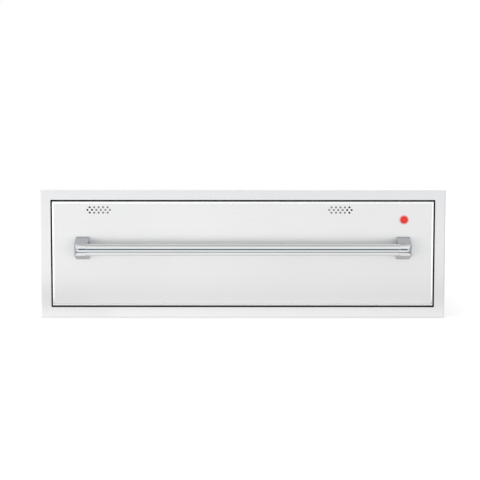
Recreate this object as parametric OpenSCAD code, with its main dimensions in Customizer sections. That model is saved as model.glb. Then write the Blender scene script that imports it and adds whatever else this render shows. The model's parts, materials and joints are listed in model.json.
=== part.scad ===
// Warming drawer: an insulated, electrically heated drawer in a sheet-metal casing behind a brushed
// trim frame, with a bar handle, two sliding vents, a pilot lamp and a thermostat inside the drawer.
// Millimetres. X to the right, Y to the back, Z up. The origin is on the standing surface, under the
// middle of the whole object. Left and right are as seen from the front.

/* [Trim frame] */
// Overall width of the trim frame
frame_w = 762; // [700:1:900]
// Overall height of the trim frame
frame_h = 242.5; // [230:0.5:300]
// Width of the frame's face at its left and right
frame_side = 20; // [16:0.5:28]
// Height of the frame's face below the drawer front
frame_bottom = 20.5; // [17:0.5:30]
// Height of the frame's face above the drawer front
frame_top = 19.2; // [16:0.1:30]
// Thickness of the frame's sheet
frame_sheet = 1.5; // [1:0.1:2]
// Radius of the bend around the frame's outer edge
frame_bend_r = 2.5; // [2.1:0.1:4]
// Depth of the lip that turns back around the frame's outer edge
frame_lip = 8; // [5:0.5:14]
// Height of the frame's lower edge above the standing surface
frame_lift = 1; // [0.5:0.5:6]
// Diameter of the screw holes in the jamb
jamb_hole_d = 4.5; // [3:0.1:6]
// Depth of the jamb's screw holes behind the front
jamb_hole_depth = 14; // [8:0.5:16]
// Vertical distance between the two screw holes of one jamb
jamb_hole_gap = 140; // [80:1:160]

/* [Drawer front] */
// Gap between the drawer front and the frame at the left and right
gap_side = 2.5; // [2:0.1:4]
// Gap between the drawer front and the frame above and below
gap_ends = 3; // [2:0.1:4]
// Depth of the drawer front, skin to inner panel
front_t = 24; // [20:0.5:32]
// Thickness of the front's sheet
front_sheet = 1.2; // [0.8:0.1:1.6]
// Radius of the bend around the skin's edge
front_bend_r = 1.8; // [1.7:0.1:2.6]
// Width of the flange behind the skin that the inner panel is screwed to
front_flange = 17; // [15.5:0.5:20]
// Thickness of the gasket behind the front
gasket_t = 3.7; // [3.5:0.1:6]
// Width of the gasket
gasket_w = 6; // [4:0.5:7]
// Distance from the front's edge to the gasket
gasket_inset = 0.8; // [0.5:0.1:1.5]

/* [Vents] */
// Diameter of a vent hole
vent_hole_d = 3.8; // [3:0.1:4.4]
// Distance between neighbouring vent holes in one row
vent_pitch = 8.4; // [7.6:0.1:9.4]
// Distance between the rows of vent holes
vent_row = 5; // [4.8:0.1:6]
// Number of vent holes in the middle row
vent_holes = 6; // [4:1:7]
// Distance from the front's left edge to the middle of the left vent
vent_left = 88; // [70:0.5:120]
// Distance from the front's right edge to the middle of the right vent
vent_right = 175.4; // [172:0.5:240]
// Distance from the front's upper edge to the middle row of holes
vent_drop = 15.9; // [14.5:0.1:18]
// Width of a vent shutter
shutter_w = 48; // [47:0.5:56]
// Height of a vent shutter
shutter_h = 18; // [17:0.5:19]
// Thickness of a vent shutter
shutter_t = 1; // [0.6:0.1:1.5]
// How far the shutters are slid open from fully closed
shutter_open = 13.5; // [0:0.1:40]
// Travel of a shutter from fully closed to fully open
shutter_travel = 47.4; // [40:0.2:52]
// Diameter of the stud that carries a shutter's knob
shutter_stud_d = 4; // [3:0.1:5]
// Height of the slot that the stud runs in
shutter_slot_h = 7; // [6:0.5:8]
// Diameter of a shutter's knob
shutter_knob_d = 9; // [8:0.5:10]
// Length of a shutter's knob
shutter_knob_l = 3.2; // [2.5:0.1:3.4]
// Wall thickness of the vent ducts
duct_wall = 0.8; // [0.6:0.1:1.2]
// Height of the rails that hold a shutter against the skin
duct_rail = 2.2; // [1:0.1:2.6]

/* [Pilot lamp] */
// Distance from the front's right edge to the lamp's axis
lamp_inset = 55.9; // [50:0.5:70]
// Distance from the front's upper edge to the lamp's axis
lamp_drop = 34; // [33:0.5:42]
// Diameter of the lens's flange
lens_flange_d = 17; // [14:0.5:20]
// Thickness of the lens's flange
lens_flange_t = 1.8; // [1:0.1:3]
// Diameter of the lens's raised step
lens_step_d = 10.5; // [8:0.5:12]
// Height of the lens's raised step
lens_step_t = 2; // [1:0.1:3]
// Diameter of the button in the middle of the lens
lens_button_d = 5.5; // [4:0.5:7]
// Height of the button in the middle of the lens
lens_button_t = 0.8; // [0.4:0.1:2]
// Diameter of the lens's barrel inside the lamp body
lens_barrel_d = 8; // [6:0.5:9]
// Diameter of the lamp's body
lamp_body_d = 12; // [11:0.5:13]
// Length of the lamp's body behind the front
lamp_body_l = 34; // [30:0.5:38]

/* [Handle] */
// Reach of the handle in front of the drawer front
handle_reach = 48; // [44:0.5:60]
// Diameter of the handle's bar
bar_d = 22; // [18:0.5:23]
// Distance from the drawer front to the bar's axis
bar_reach = 36; // [33:0.5:36.5]
// Distance from the front's upper edge to the bar's axis
handle_drop = 87.6; // [80:0.5:100]
// Distance from the front's side edge to a bracket's outer face
bracket_inset = 44.5; // [40:0.5:60]
// Width of a bracket at its foot
bracket_foot_w = 26; // [24:0.5:34]
// Height of a bracket at its foot
bracket_foot_h = 42.5; // [42:0.5:60]
// Width of a bracket's front face and its rounded corner
bracket_nose_w = 23; // [20:0.5:24]
// Height of a bracket's round nose
bracket_nose_h = 24.6; // [24:0.1:30]
// Slope of a bracket's inner flank, measured over its whole reach
bracket_draft = 1.5; // [0.5:0.1:2]
// Radius of a bracket's outer front corner
bracket_corner_r = 8; // [5:0.5:10]
// Depth of the bar's socket in a bracket
bar_socket = 8; // [5:0.5:10]
// Vertical distance between the two screws of one bracket
bracket_screw_gap = 24; // [20:0.5:28]
// Width of the plate behind the skin at each bracket
backing_w = 32; // [28:0.5:40]
// Height of the plate behind the skin at each bracket
backing_h = 56; // [48:0.5:70]
// Thickness of the plate behind the skin at each bracket
backing_t = 2; // [1.5:0.1:4]

/* [Casing] */
// Depth of the casing from the front's face to the power inlet's flange
casing_d = 552; // [520:1:620]
// Thickness of the outer panels
panel_sheet = 1.2; // [0.8:0.1:1.6]
// How far the casing's top is below the jamb's
casing_drop = 14.5; // [0:0.5:16]
// Distance from the front's face to the front edge of the outer panels
panel_setback = 20; // [18:0.5:24]
// Width of the flanges that the rear panel is screwed to
panel_flange = 12; // [10:0.5:16]
// Depth of the wiring space between the rear insulation and the rear panel
service_d = 33.8; // [30:0.1:50]
// Thickness of the insulation behind the cavity
rear_insulation_t = 12; // [8:0.5:20]
// Distance between neighbouring ventilation slots of the rear panel
louvre_pitch = 9; // [7:0.5:14]
// Number of ventilation slots in the rear panel
louvre_slots = 6; // [3:1:8]
// Length of a ventilation slot
louvre_l = 80; // [40:1:110]
// Height of a ventilation slot
louvre_h = 3; // [2:0.5:4]

/* [Cavity] */
// Width of the landing that the gasket closes on, at the left and right
landing_side = 16; // [14:0.5:20]
// Height of the landing below the cavity
landing_bottom = 15; // [14:0.5:20]
// Height of the landing above the cavity
landing_top = 17.4; // [16.5:0.1:17.5]
// Thickness of the cavity's liner
liner_sheet = 1; // [0.8:0.1:1.5]
// Thickness of the landing's sheet
landing_sheet = 1.2; // [0.8:0.1:1.6]

/* [Drawer tub] */
// Thickness of the tub's sheet
tub_sheet = 1; // [0.8:0.1:1.5]
// Height of the tub's underside above the cavity's floor
tub_lift = 21.5; // [18:0.5:28]
// Gap between the tub and the cavity's rear wall
tub_rear_gap = 30; // [20:0.5:50]
// Clearance between the shutter knobs and the tub's rim
rim_clear = 5.9; // [3:0.1:7]
// Width of the rim's flange
rim_flange = 6; // [4:0.5:9]
// Width of the control channel along the tub's right wall
channel_w = 86; // [80:0.5:100]
// Thickness of the cover over the control channel
cover_sheet = 1.2; // [0.8:0.1:1.6]
// Width of the flange that carries the cover
cover_flange = 10; // [6:0.5:14]

/* [Thermostat] */
// Diameter of the knob's skirt
dial_d = 36; // [28:0.5:42]
// Thickness of the knob's skirt
dial_skirt_t = 2.5; // [2:0.1:4]
// Diameter of the knob's grip
dial_grip_d = 24; // [18:0.5:26]
// Height of the knob, skirt and grip
dial_h = 9.5; // [8:0.5:10]
// Number of flutes around the grip
dial_flutes = 12; // [8:1:16]
// Diameter of a flute
dial_flute_d = 3; // [2:0.1:4]
// Distance from the inner panel to the knob's axis
dial_setback = 45; // [42:0.5:60]
// Width and depth of the thermostat's body
thermostat_w = 42; // [36:0.5:46]
// Height of the thermostat's body
thermostat_h = 26; // [22:0.5:34]
// Diameter of the spindle
spindle_d = 6; // [5:0.5:7]
// Depth of the spindle in the thermostat's body
spindle_depth = 10; // [6:0.5:14]
// Diameter of the thermostat's sensor bulb
bulb_d = 6; // [5:0.5:8]
// Length of the thermostat's sensor bulb
bulb_l = 90; // [60:1:120]
// Diameter of the capillary between the thermostat and its bulb
capillary_d = 2; // [1.5:0.1:2.5]

/* [Curly lead] */
// Outer diameter of the curly lead
lead_d = 18; // [14:0.5:22]
// Distance from the inner panel to the lead's front anchor
lead_setback = 168; // [140:1:200]
// Height of the lead's axis above the tub's floor
lead_rise = 41; // [30:0.5:60]
// Height of the tab that anchors the lead
anchor_h = 34; // [30:0.5:44]
// Width of the tab that anchors the lead
anchor_w = 60; // [57:0.5:66]
// Diameter of the hole that the lead passes in the tub's rear wall
lead_hole_d = 26; // [24:0.5:30]

/* [Slides] */
// Length of the slides, and their travel
slide_l = 400; // [350:1:420]
// Thickness of a closed slide
slide_t = 12.7; // [12.5:0.1:13.5]
// Height of a slide
slide_h = 45; // [44:0.5:50]
// Thickness of the slides' sheet
slide_sheet = 1.2; // [1:0.1:1.3]
// Height of the slides' middle above the tub's underside
slide_rise = 70; // [60:0.5:90]
// Distance from the landing to the slides' front end
slide_setback = 2; // [1:0.5:4]
// Diameter of a slide's ball
ball_d = 4.5; // [4.2:0.1:4.6]
// Clearance of a ball in its raceway
ball_clear = 0.2; // [0.1:0.05:0.3]
// Length of a ball cage
cage_l = 180; // [160:1:190]
// Thickness of a ball cage's sheet
cage_sheet = 0.7; // [0.5:0.1:0.8]
// Number of balls in one row of a cage
cage_balls = 8; // [5:1:12]

/* [Heating] */
// Diameter of the tubular heating element
element_d = 8; // [6.5:0.1:8.5]
// Height of the element's axis above the cavity's floor
element_rise = 10; // [8:0.5:12]
// Radius of the element's bends
element_bend_r = 40; // [32:1:44]
// Distance from the landing to the element's front run
element_setback = 43; // [36:1:70]
// Distance from the cavity's rear wall to the element's rear bends
element_rear_gap = 50; // [46:1:80]
// Distance from the element's front run to the front bends of its inner loops
element_inner_gap = 80; // [60:1:120]
// Length of the element's ends behind the cavity's rear wall
element_end = 24; // [20:0.5:27]
// Thickness of an element clip
clip_t = 1.5; // [1:0.1:2.5]
// Width of an element clip
clip_w = 16; // [14:0.5:20]
// Diameter of a bushing's flange
bushing_flange_d = 20; // [18:0.5:24]
// Diameter of a bushing's neck
bushing_neck_d = 14; // [12:0.5:16]
// Thickness of a bushing's flange
bushing_flange_t = 3; // [2:0.1:4]
// Length of a bushing's neck behind the cavity's rear wall
bushing_neck_l = 16; // [14:0.5:19]

/* [Power] */
// Distance from the casing's left side to the power inlet's middle
inlet_inset = 62; // [50:1:90]
// Height of the power inlet's middle above the base pan
inlet_rise = 60; // [40:1:90]
// Width of the power inlet's body
inlet_w = 27; // [26:0.1:28]
// Height of the power inlet's body
inlet_h = 19.8; // [19:0.1:21]
// Depth of the power inlet's body inside the panel
inlet_d = 18; // [17:0.5:22]
// Width of the power inlet's flange
inlet_flange_w = 31; // [30:0.5:36]
// Height of the power inlet's flange
inlet_flange_h = 24; // [23:0.5:28]
// Thickness of the power inlet's flange
inlet_flange_t = 2; // [1.5:0.1:3]
// Width of the socket in the power inlet
socket_w = 24; // [23:0.1:24.6]
// Height of the socket in the power inlet
socket_h = 16.4; // [16:0.1:17]
// Depth of the socket in the power inlet
socket_d = 17; // [15:0.5:17.5]
// Width of the terminal block
block_w = 50; // [45:0.5:70]
// Height of the terminal block
block_h = 20; // [16:0.5:26]
// Depth of the terminal block
block_d = 14; // [10:0.5:18]
// Number of poles in the terminal block
block_poles = 5; // [4:1:6]
// Diameter of a wire
wire_d = 3; // [2.5:0.1:3.4]
// Radius over which a wire turns a corner
wire_bend = 8; // [5:0.5:10]
// Outer diameter of the grommet at the curly lead
grommet_d = 22; // [20:0.5:26]
// Diameter of the grommet's neck
grommet_neck_d = 15; // [13:0.5:18]
// Thickness of the grommet's flange
grommet_flange_t = 2.5; // [1.5:0.1:4]

/* [Feet] */
// Diameter of a rubber foot at the base pan
foot_d = 38; // [30:0.5:50]
// Diameter of a rubber foot where it stands
foot_sole_d = 32; // [26:0.5:38]
// Distance from the casing's side to a foot's middle
foot_inset_x = 50; // [35:1:90]
// Distance from the landing and the rear panel to a foot's middle
foot_inset_y = 45; // [35:1:90]

/* [Fasteners] */
// Diameter of the small sheet-metal screws
screw_d = 3.5; // [3:0.1:4]
// Head diameter of the small screws
screw_head_d = 7; // [6:0.1:7.4]
// Head height of the small screws
screw_head_h = 2; // [1.4:0.1:2.2]
// Diameter of the handle and foot screws
bolt_d = 5; // [4:0.1:6]
// Head diameter of the handle and foot screws
bolt_head_d = 9.5; // [8:0.1:11]
// Head height of the handle and foot screws
bolt_head_h = 3.2; // [2.5:0.1:4]
// Length of a handle screw inside its bracket
bolt_grip = 12; // [8:0.5:18]
// Diameter of the set screws that hold the bar
set_screw_d = 4; // [3:0.1:5]
// Head diameter of a slide's rivets
rivet_head_d = 8; // [6:0.5:9]
// Head height of a slide's rivets
rivet_head_h = 0.6; // [0.4:0.1:0.7]
// Shank diameter of a slide's rivets
rivet_d = 4; // [3:0.1:5]

/* [Clearances] */
// Clearance around pieces that slide or turn in each other
running_gap = 0.3; // [0.2:0.05:0.5]
// Clearance between soft slabs and the sheets around them
soft_gap = 0.3; // [0.2:0.05:0.5]
// Radial clearance of screws, bars and bodies in their holes
hole_gap = 0.2; // [0.1:0.05:0.4]
// Radial clearance of the spindle in its bushing
spindle_gap = 0.08; // [0.03:0.01:0.1]
// Gap at the seams where sheets of one welded box or frame butt
seam = 0.1; // [0.05:0.05:0.2]

/* [Hidden] */
$fn = 64;

// How far cutting shapes run past the faces that they cut
cut = 1;

// How far screws reach past the sheets that they hold
screw_tip = 4;

// How much wider a loose hole is than what passes through it
loose_fit = 2;

// The whole object, front to back
front_y = handle_reach - (casing_d + handle_reach) / 2;
rear_y = (casing_d + handle_reach) / 2;
rear_panel_y = rear_y - inlet_flange_t - panel_sheet;

// The opening in the trim frame, and the jamb around it
frame_x = frame_w / 2;
open_x = frame_x - frame_side;
open_z0 = frame_lift + frame_bottom;
open_z1 = frame_lift + frame_h - frame_top;
open_mid_z = (open_z0 + open_z1) / 2;
jamb_x = open_x + frame_sheet;
jamb_z0 = open_z0 - frame_sheet;
jamb_z1 = open_z1 + frame_sheet;
landing_y = front_y + front_t + gasket_t + running_gap;
landing_back_y = landing_y + landing_sheet;

// The drawer front
front_x = open_x - gap_side;
front_z0 = open_z0 + gap_ends;
front_z1 = open_z1 - gap_ends;
front_back_y = front_y + front_t;
front_inside_y = front_back_y - front_sheet;
flange_front_y = front_inside_y - front_sheet;

// The casing's panels
casing_x = jamb_x + panel_sheet;
casing_z0 = jamb_z0 - panel_sheet;
casing_z1 = jamb_z1 + panel_sheet - casing_drop;
top_z = casing_z1 - panel_sheet;
panel_y = front_y + panel_setback;

// The cavity
cavity_x = open_x - landing_side;
cavity_z0 = open_z0 + landing_bottom;
cavity_z1 = open_z1 - landing_top;
cavity_back_y = rear_panel_y - service_d - rear_insulation_t - liner_sheet;
liner_back_y = cavity_back_y + liner_sheet;

// The vents
vent_z = front_z1 - vent_drop;
vents = [[vent_left - front_x, 1], [front_x - vent_right, -1]];
shutter_front_y = front_y + front_sheet + running_gap;
shutter_back_y = shutter_front_y + shutter_t;
shutter_knob_y = front_back_y + running_gap;
duct_x0 = -shutter_w / 2 - running_gap;
duct_x1 = shutter_w / 2 + shutter_travel + running_gap;
duct_half_h = shutter_h / 2 + running_gap;

// The drawer's tub
tub_x = cavity_x - slide_t;
tub_z0 = cavity_z0 + tub_lift;
rim_z = vent_z - shutter_knob_d / 2 - rim_clear;
tub_back_y = cavity_back_y - tub_rear_gap;
channel_x = tub_x - tub_sheet - channel_w;
cover_z = rim_z + cover_sheet;

// The lamp and the dial
lamp_x = front_x - lamp_inset;
lamp_z = front_z1 - lamp_drop;
dial_x = (channel_x + tub_x) / 2;
dial_y = front_back_y + dial_setback;

// The handle
handle_z = front_z1 - handle_drop;
bracket_x = front_x - bracket_inset;
bracket_mid_x = bracket_x - bracket_foot_w / 2;
bar_y = front_y - bar_reach;
bar_end_x = bracket_x - bracket_foot_w + bar_socket;

// The slides, across their thickness from the cavity's wall and up from their middle
slide_z = tub_z0 + slide_rise;
slide_y = landing_back_y + slide_setback;
ball_space = ball_d + 2 * ball_clear;
outer_race = slide_h / 2 - slide_sheet;
middle_top = outer_race - ball_space;
middle_race = middle_top - slide_sheet;
inner_top = middle_race - ball_space;
outer_lip = 10.6;
middle_web = 4.5;
middle_flange = 11.7;
inner_flange = 7.1;
outer_cage_web = 2.3;
outer_cage_end = 9.1;
inner_cage_web = 6.1;
inner_cage_end = 11.9;
outer_ball = 6.7;
inner_ball = slide_t - slide_sheet - ball_d / 2;
cage_y = slide_y + (slide_l - cage_l) / 2;

// The heating element
element_z = cavity_z0 + element_rise;
element_end_y = liner_back_y + element_end;
element_front_y = landing_back_y + element_setback;
element_inner_y = element_front_y + element_inner_gap;
element_rear_y = cavity_back_y - element_rear_gap - element_bend_r;
element_x1 = element_bend_r * 3 / 4;
element_x2 = element_x1 + 2 * element_bend_r;
element_x3 = element_x2 + 2 * element_bend_r;

// The power inlet, the terminal block and the curly lead
inlet_x = inlet_inset - casing_x;
inlet_z = casing_z0 + inlet_rise;
inlet_inner_y = rear_panel_y + panel_sheet - inlet_d;
block_x = inlet_x / 2;
block_raise = 30;
block_z = inlet_z + block_raise;
block_y = rear_panel_y - block_d;
pole_pitch = block_w / block_poles;
lead_x = channel_x + anchor_w - lead_hole_d / 2;
lead_z = tub_z0 + tub_sheet + lead_rise;
anchor_y = front_back_y + lead_setback;

// The feet
foot_x = casing_x - foot_inset_x;
foot_front_y = landing_y + foot_inset_y;
foot_rear_y = rear_panel_y - foot_inset_y;

// -------------------- shared shapes

// A block given by its lowest and highest corner
module block(low, high) {
    translate(low) cube(high - low);
}

// A round rod along X, Y or Z that starts at a point
module rod_x(d, start, l) {
    translate(start) rotate([0, 90, 0]) cylinder(d = d, h = l);
}

module rod_y(d, start, l) {
    translate(start) rotate([-90, 0, 0]) cylinder(d = d, h = l);
}

module rod_z(d, start, l) {
    translate(start) cylinder(d = d, h = l);
}

// Draws a right-hand piece on the right (side 1) or mirrored on the left (side -1)
module on_side(side) {
    if (side < 0) mirror([1, 0, 0]) children();
    else children();
}

// A block whose front edges, on all four sides, are bent round with radius r
module bent_block(low, high, r) {
    size = high - low;
    intersection() {
        block(low, high);
        translate([low[0], 0, 0]) rotate([90, 0, 90])
            linear_extrude(size[0]) bent_profile(low[1], high[1], low[2], high[2], r);
        translate([0, 0, low[2]])
            linear_extrude(size[2]) mirror([1, -1]) bent_profile(low[1], high[1], low[0], high[0], r);
    }
}

// A rectangle whose two corners at its low first coordinate are round
module bent_profile(a0, a1, b0, b1, r) {
    translate([a0 + r, b0]) square([a1 - a0 - r, b1 - b0]);
    translate([a0, b0 + r]) square([r + cut, b1 - b0 - 2 * r]);
    translate([a0 + r, b0 + r]) circle(r);
    translate([a0 + r, b1 - r]) circle(r);
}

// A pan-head screw along +Y whose head's underside is at the given point
module screw_to_front(d, head_d, head_h, seat, l) {
    rod_y(head_d, seat, head_h);
    rod_y(d, seat - [0, l, 0], l + head_h / 2);
}

// -------------------- wires

wire_steps = 3;
wire_sides = 8;

function unit(v) = v / norm(v);

// A corner of a route, rounded from one bend length before it to one after it
function corner(a, b, c, bend) = [
    for (k = [0 : wire_steps])
        let (t = k / wire_steps, p = b + unit(a - b) * bend, q = b + unit(c - b) * bend)
            (1 - t) * (1 - t) * p + 2 * t * (1 - t) * b + t * t * q
];

function route(stops, bend) = concat(
    [stops[0]],
    [for (i = [1 : len(stops) - 2]) each corner(stops[i - 1], stops[i], stops[i + 1], bend)],
    [stops[len(stops) - 1]]
);

function directions(points) = [
    for (i = [0 : len(points) - 1])
        unit(points[min(i + 1, len(points) - 1)] - points[max(i - 1, 0)])
];

// A sideways vector carried along the route without twist
function carried(along, i, side) = i >= len(along) ? [] :
    let (here = unit(side - (side * along[i]) * along[i])) concat([here], carried(along, i + 1, here));

// A round tube swept along points
module tube(points, d) {
    along = directions(points);
    first = abs(along[0][2]) < 0.9 ? [0, 0, 1] : [1, 0, 0];
    side = carried(along, 0, first);
    last = len(points) - 1;
    rings = [
        for (i = [0 : last], s = [0 : wire_sides - 1])
            let (a = 360 * s / wire_sides)
                points[i] + d / 2 * (cos(a) * side[i] + sin(a) * cross(along[i], side[i]))
    ];
    walls = [
        for (i = [0 : last - 1], s = [0 : wire_sides - 1])
            let (next = (s + 1) % wire_sides, a = i * wire_sides, b = (i + 1) * wire_sides)
                [a + s, b + s, b + next, a + next]
    ];
    ends = [
        [for (s = [0 : wire_sides - 1]) s],
        [for (s = [wire_sides - 1 : -1 : 0]) last * wire_sides + s]
    ];
    polyhedron(points = rings, faces = concat(walls, ends));
}

// -------------------- casing

module trim_frame() {
    frame_z1 = frame_lift + frame_h;
    color([0.91, 0.91, 0.9]) difference() {
        bent_block([-frame_x, front_y, frame_lift], [frame_x, front_y + frame_lip, frame_z1], frame_bend_r);
        block([-frame_x + frame_sheet, front_y + frame_sheet, frame_lift + frame_sheet],
              [frame_x - frame_sheet, front_y + frame_lip + cut, frame_z1 - frame_sheet]);
        block([-open_x, front_y - cut, open_z0], [open_x, front_y + frame_lip, open_z1]);
    }
}

// Four strips around a rectangular opening: the upper and lower ones reach over the ends of the others
module strip_frame(y0, y1, in_x, in_z0, in_z1, out_x, out_z0, out_z1) {
    block([-out_x, y0, out_z0], [out_x, y1, in_z0]);
    block([-out_x, y0, in_z1], [out_x, y1, out_z1]);
    for (side = [-1, 1]) on_side(side)
        block([in_x, y0, in_z0 + seam], [out_x, y1, in_z1 - seam]);
}

// The four strips behind the face that line the opening
module frame_jamb() {
    color([0.9, 0.9, 0.89]) difference() {
        strip_frame(front_y + frame_sheet, landing_y, open_x, open_z0, open_z1, jamb_x, jamb_z0, jamb_z1);
        for (side = [-1, 1], v = [-1, 1]) on_side(side)
            rod_x(jamb_hole_d, [open_x - cut, front_y + jamb_hole_depth, open_mid_z + v * jamb_hole_gap / 2],
                  frame_sheet + 2 * cut);
    }
}

// The four strips that the gasket closes on
module landing_frame() {
    color([0.78, 0.78, 0.78])
        strip_frame(landing_y, landing_back_y, cavity_x, cavity_z0, cavity_z1, jamb_x, jamb_z0, jamb_z1);
}

module casing_top_panel() {
    color([0.72, 0.73, 0.74]) union() {
        block([-jamb_x, landing_back_y, top_z], [jamb_x, rear_panel_y, casing_z1]);
        difference() {
            block([-jamb_x + panel_flange, rear_panel_y - panel_sheet, top_z - panel_flange],
                  [jamb_x - panel_flange, rear_panel_y, top_z + panel_sheet / 2]);
            for (x = rear_screw_xs()) rear_screw_hole(x, casing_z1 - rear_screw_inset());
        }
    }
}

module casing_side_panel(side) {
    on_side(side) union() {
        block([jamb_x, panel_y, casing_z0], [casing_x, rear_panel_y, casing_z1]);
        difference() {
            block([jamb_x - panel_flange, rear_panel_y - panel_sheet, jamb_z0],
                  [jamb_x + panel_sheet / 2, rear_panel_y, top_z]);
            for (z = rear_screw_zs()) rear_screw_hole(casing_x - rear_screw_inset(), z);
        }
    }
}

module casing_left_panel() color([0.72, 0.73, 0.74]) casing_side_panel(-1);

module casing_right_panel() color([0.7, 0.71, 0.72]) casing_side_panel(1);

module base_pan() {
    color([0.62, 0.63, 0.64]) difference() {
        union() {
            block([-jamb_x, panel_y, casing_z0], [jamb_x, rear_panel_y, jamb_z0]);
            difference() {
                block([-jamb_x + panel_flange, rear_panel_y - panel_sheet, jamb_z0 - panel_sheet / 2],
                      [jamb_x - panel_flange, rear_panel_y, jamb_z0 + panel_flange]);
                for (x = rear_screw_xs()) rear_screw_hole(x, casing_z0 + rear_screw_inset());
            }
        }
        at_feet() rod_z(bolt_d + 2 * hole_gap, [0, 0, casing_z0 - cut], panel_sheet + 2 * cut);
    }
}

// The rear panel's screws: their inset, and where they are along its edges
function rear_screw_inset() = panel_sheet + panel_flange / 2;
function rear_screw_xs() = [for (k = [-1 : 1]) k * (jamb_x - 3 * panel_flange) * 2 / 3];
function rear_screw_zs() = [jamb_z0 + 3 * panel_flange, top_z - 3 * panel_flange];

module rear_screw_hole(x, z) {
    rod_y(screw_d + 2 * hole_gap, [x, rear_panel_y - panel_sheet - cut, z], 2 * panel_sheet + 2 * cut);
}

// Places children at each screw of the rear panel
module at_rear_screws() {
    for (x = rear_screw_xs(), z = [casing_z0 + rear_screw_inset(), casing_z1 - rear_screw_inset()])
        translate([x, rear_panel_y + panel_sheet, z]) children();
    for (side = [-1, 1], z = rear_screw_zs())
        translate([side * (casing_x - rear_screw_inset()), rear_panel_y + panel_sheet, z]) children();
}

module rear_panel() {
    color([0.6, 0.61, 0.62]) difference() {
        block([-casing_x, rear_panel_y, casing_z0], [casing_x, rear_panel_y + panel_sheet, casing_z1]);
        at_rear_screws()
            rod_y(screw_d + 2 * hole_gap, [0, -panel_sheet - cut, 0], panel_sheet + 2 * cut);
        block([inlet_x - inlet_w / 2 - hole_gap, rear_panel_y - cut, inlet_z - inlet_h / 2 - hole_gap],
              [inlet_x + inlet_w / 2 + hole_gap, rear_y, inlet_z + inlet_h / 2 + hole_gap]);
        for (side = [-1, 1], k = [0 : louvre_slots - 1])
            louvre(side * jamb_x / 2, top_z - 3 * panel_flange - k * louvre_pitch);
    }
}

// One ventilation slot with round ends
module louvre(x, z) {
    straight = louvre_l - louvre_h;
    block([x - straight / 2, rear_panel_y - cut, z - louvre_h / 2],
          [x + straight / 2, rear_y, z + louvre_h / 2]);
    for (end = [-1, 1])
        rod_y(louvre_h, [x + end * straight / 2, rear_panel_y - cut, z], panel_sheet + 2 * cut);
}

module casing_screws() {
    color([0.5, 0.5, 0.5]) at_rear_screws() {
        rod_y(screw_head_d, [0, 0, 0], min(screw_head_h, inlet_flange_t));
        rod_y(screw_d, [0, -2 * panel_sheet - screw_tip, 0], 2 * panel_sheet + screw_tip + cut);
    }
}

module casing_insulation() {
    slab_y0 = landing_back_y + soft_gap;
    slab_y1 = cavity_back_y;
    liner_x = cavity_x + liner_sheet;
    over_z = cavity_z1 + liner_sheet;
    under_z = cavity_z0 - liner_sheet;
    color([0.9, 0.84, 0.6]) union() {
        block([-jamb_x + soft_gap, slab_y0, over_z + soft_gap],
              [jamb_x - soft_gap, slab_y1, top_z - soft_gap]);
        difference() {
            block([-jamb_x + soft_gap, slab_y0, jamb_z0 + soft_gap],
                  [jamb_x - soft_gap, slab_y1, under_z - soft_gap]);
            at_feet() rod_z(bolt_head_d + loose_fit, [0, 0, jamb_z0], landing_bottom);
        }
        for (side = [-1, 1]) on_side(side)
            block([liner_x + soft_gap, slab_y0, under_z], [jamb_x - soft_gap, slab_y1, over_z]);
        rear_slab();
    }
}

module rear_slab() {
    difference() {
        block([-cavity_x, liner_back_y + soft_gap, cavity_z0],
              [cavity_x, liner_back_y + rear_insulation_t, cavity_z1]);
        for (side = [-1, 1])
            rod_y(bushing_neck_d + loose_fit, [side * element_x1, liner_back_y, element_z],
                  rear_insulation_t + cut);
        rod_y(grommet_d + loose_fit, [lead_x, liner_back_y, lead_z], rear_insulation_t + cut);
    }
}

// -------------------- cavity

module cavity_ceiling() {
    color([0.8, 0.8, 0.8])
        block([-cavity_x, landing_back_y, cavity_z1], [cavity_x, cavity_back_y, cavity_z1 + liner_sheet]);
}

module cavity_floor() {
    color([0.78, 0.78, 0.78])
        block([-cavity_x, landing_back_y, cavity_z0 - liner_sheet], [cavity_x, cavity_back_y, cavity_z0]);
}

module cavity_side_wall(side) {
    on_side(side) difference() {
        block([cavity_x, landing_back_y, cavity_z0 - liner_sheet],
              [cavity_x + liner_sheet, cavity_back_y, cavity_z1 + liner_sheet]);
        for (y = rivet_ys())
            rod_x(rivet_d + 2 * hole_gap, [cavity_x - cut, y, slide_z], liner_sheet + 2 * cut);
    }
}

module cavity_left_wall() color([0.82, 0.82, 0.82]) cavity_side_wall(-1);

module cavity_right_wall() color([0.82, 0.82, 0.82]) cavity_side_wall(1);

module cavity_rear_wall() {
    color([0.8, 0.8, 0.8]) difference() {
        block([-cavity_x - liner_sheet, cavity_back_y, cavity_z0 - liner_sheet],
              [cavity_x + liner_sheet, liner_back_y, cavity_z1 + liner_sheet]);
        for (side = [-1, 1])
            rod_y(bushing_neck_d + 2 * hole_gap, [side * element_x1, cavity_back_y - cut, element_z],
                  liner_sheet + 2 * cut);
        rod_y(grommet_neck_d + 2 * hole_gap, [lead_x, cavity_back_y - cut, lead_z], liner_sheet + 2 * cut);
    }
}

// -------------------- heating

// A bend of the element in its own plane, from one angle over a sweep
module element_bend(x, y, from, sweep) {
    translate([x, y, element_z]) rotate([0, 0, from])
        rotate_extrude(angle = sweep) translate([element_bend_r, 0]) circle(d = element_d);
}

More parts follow.
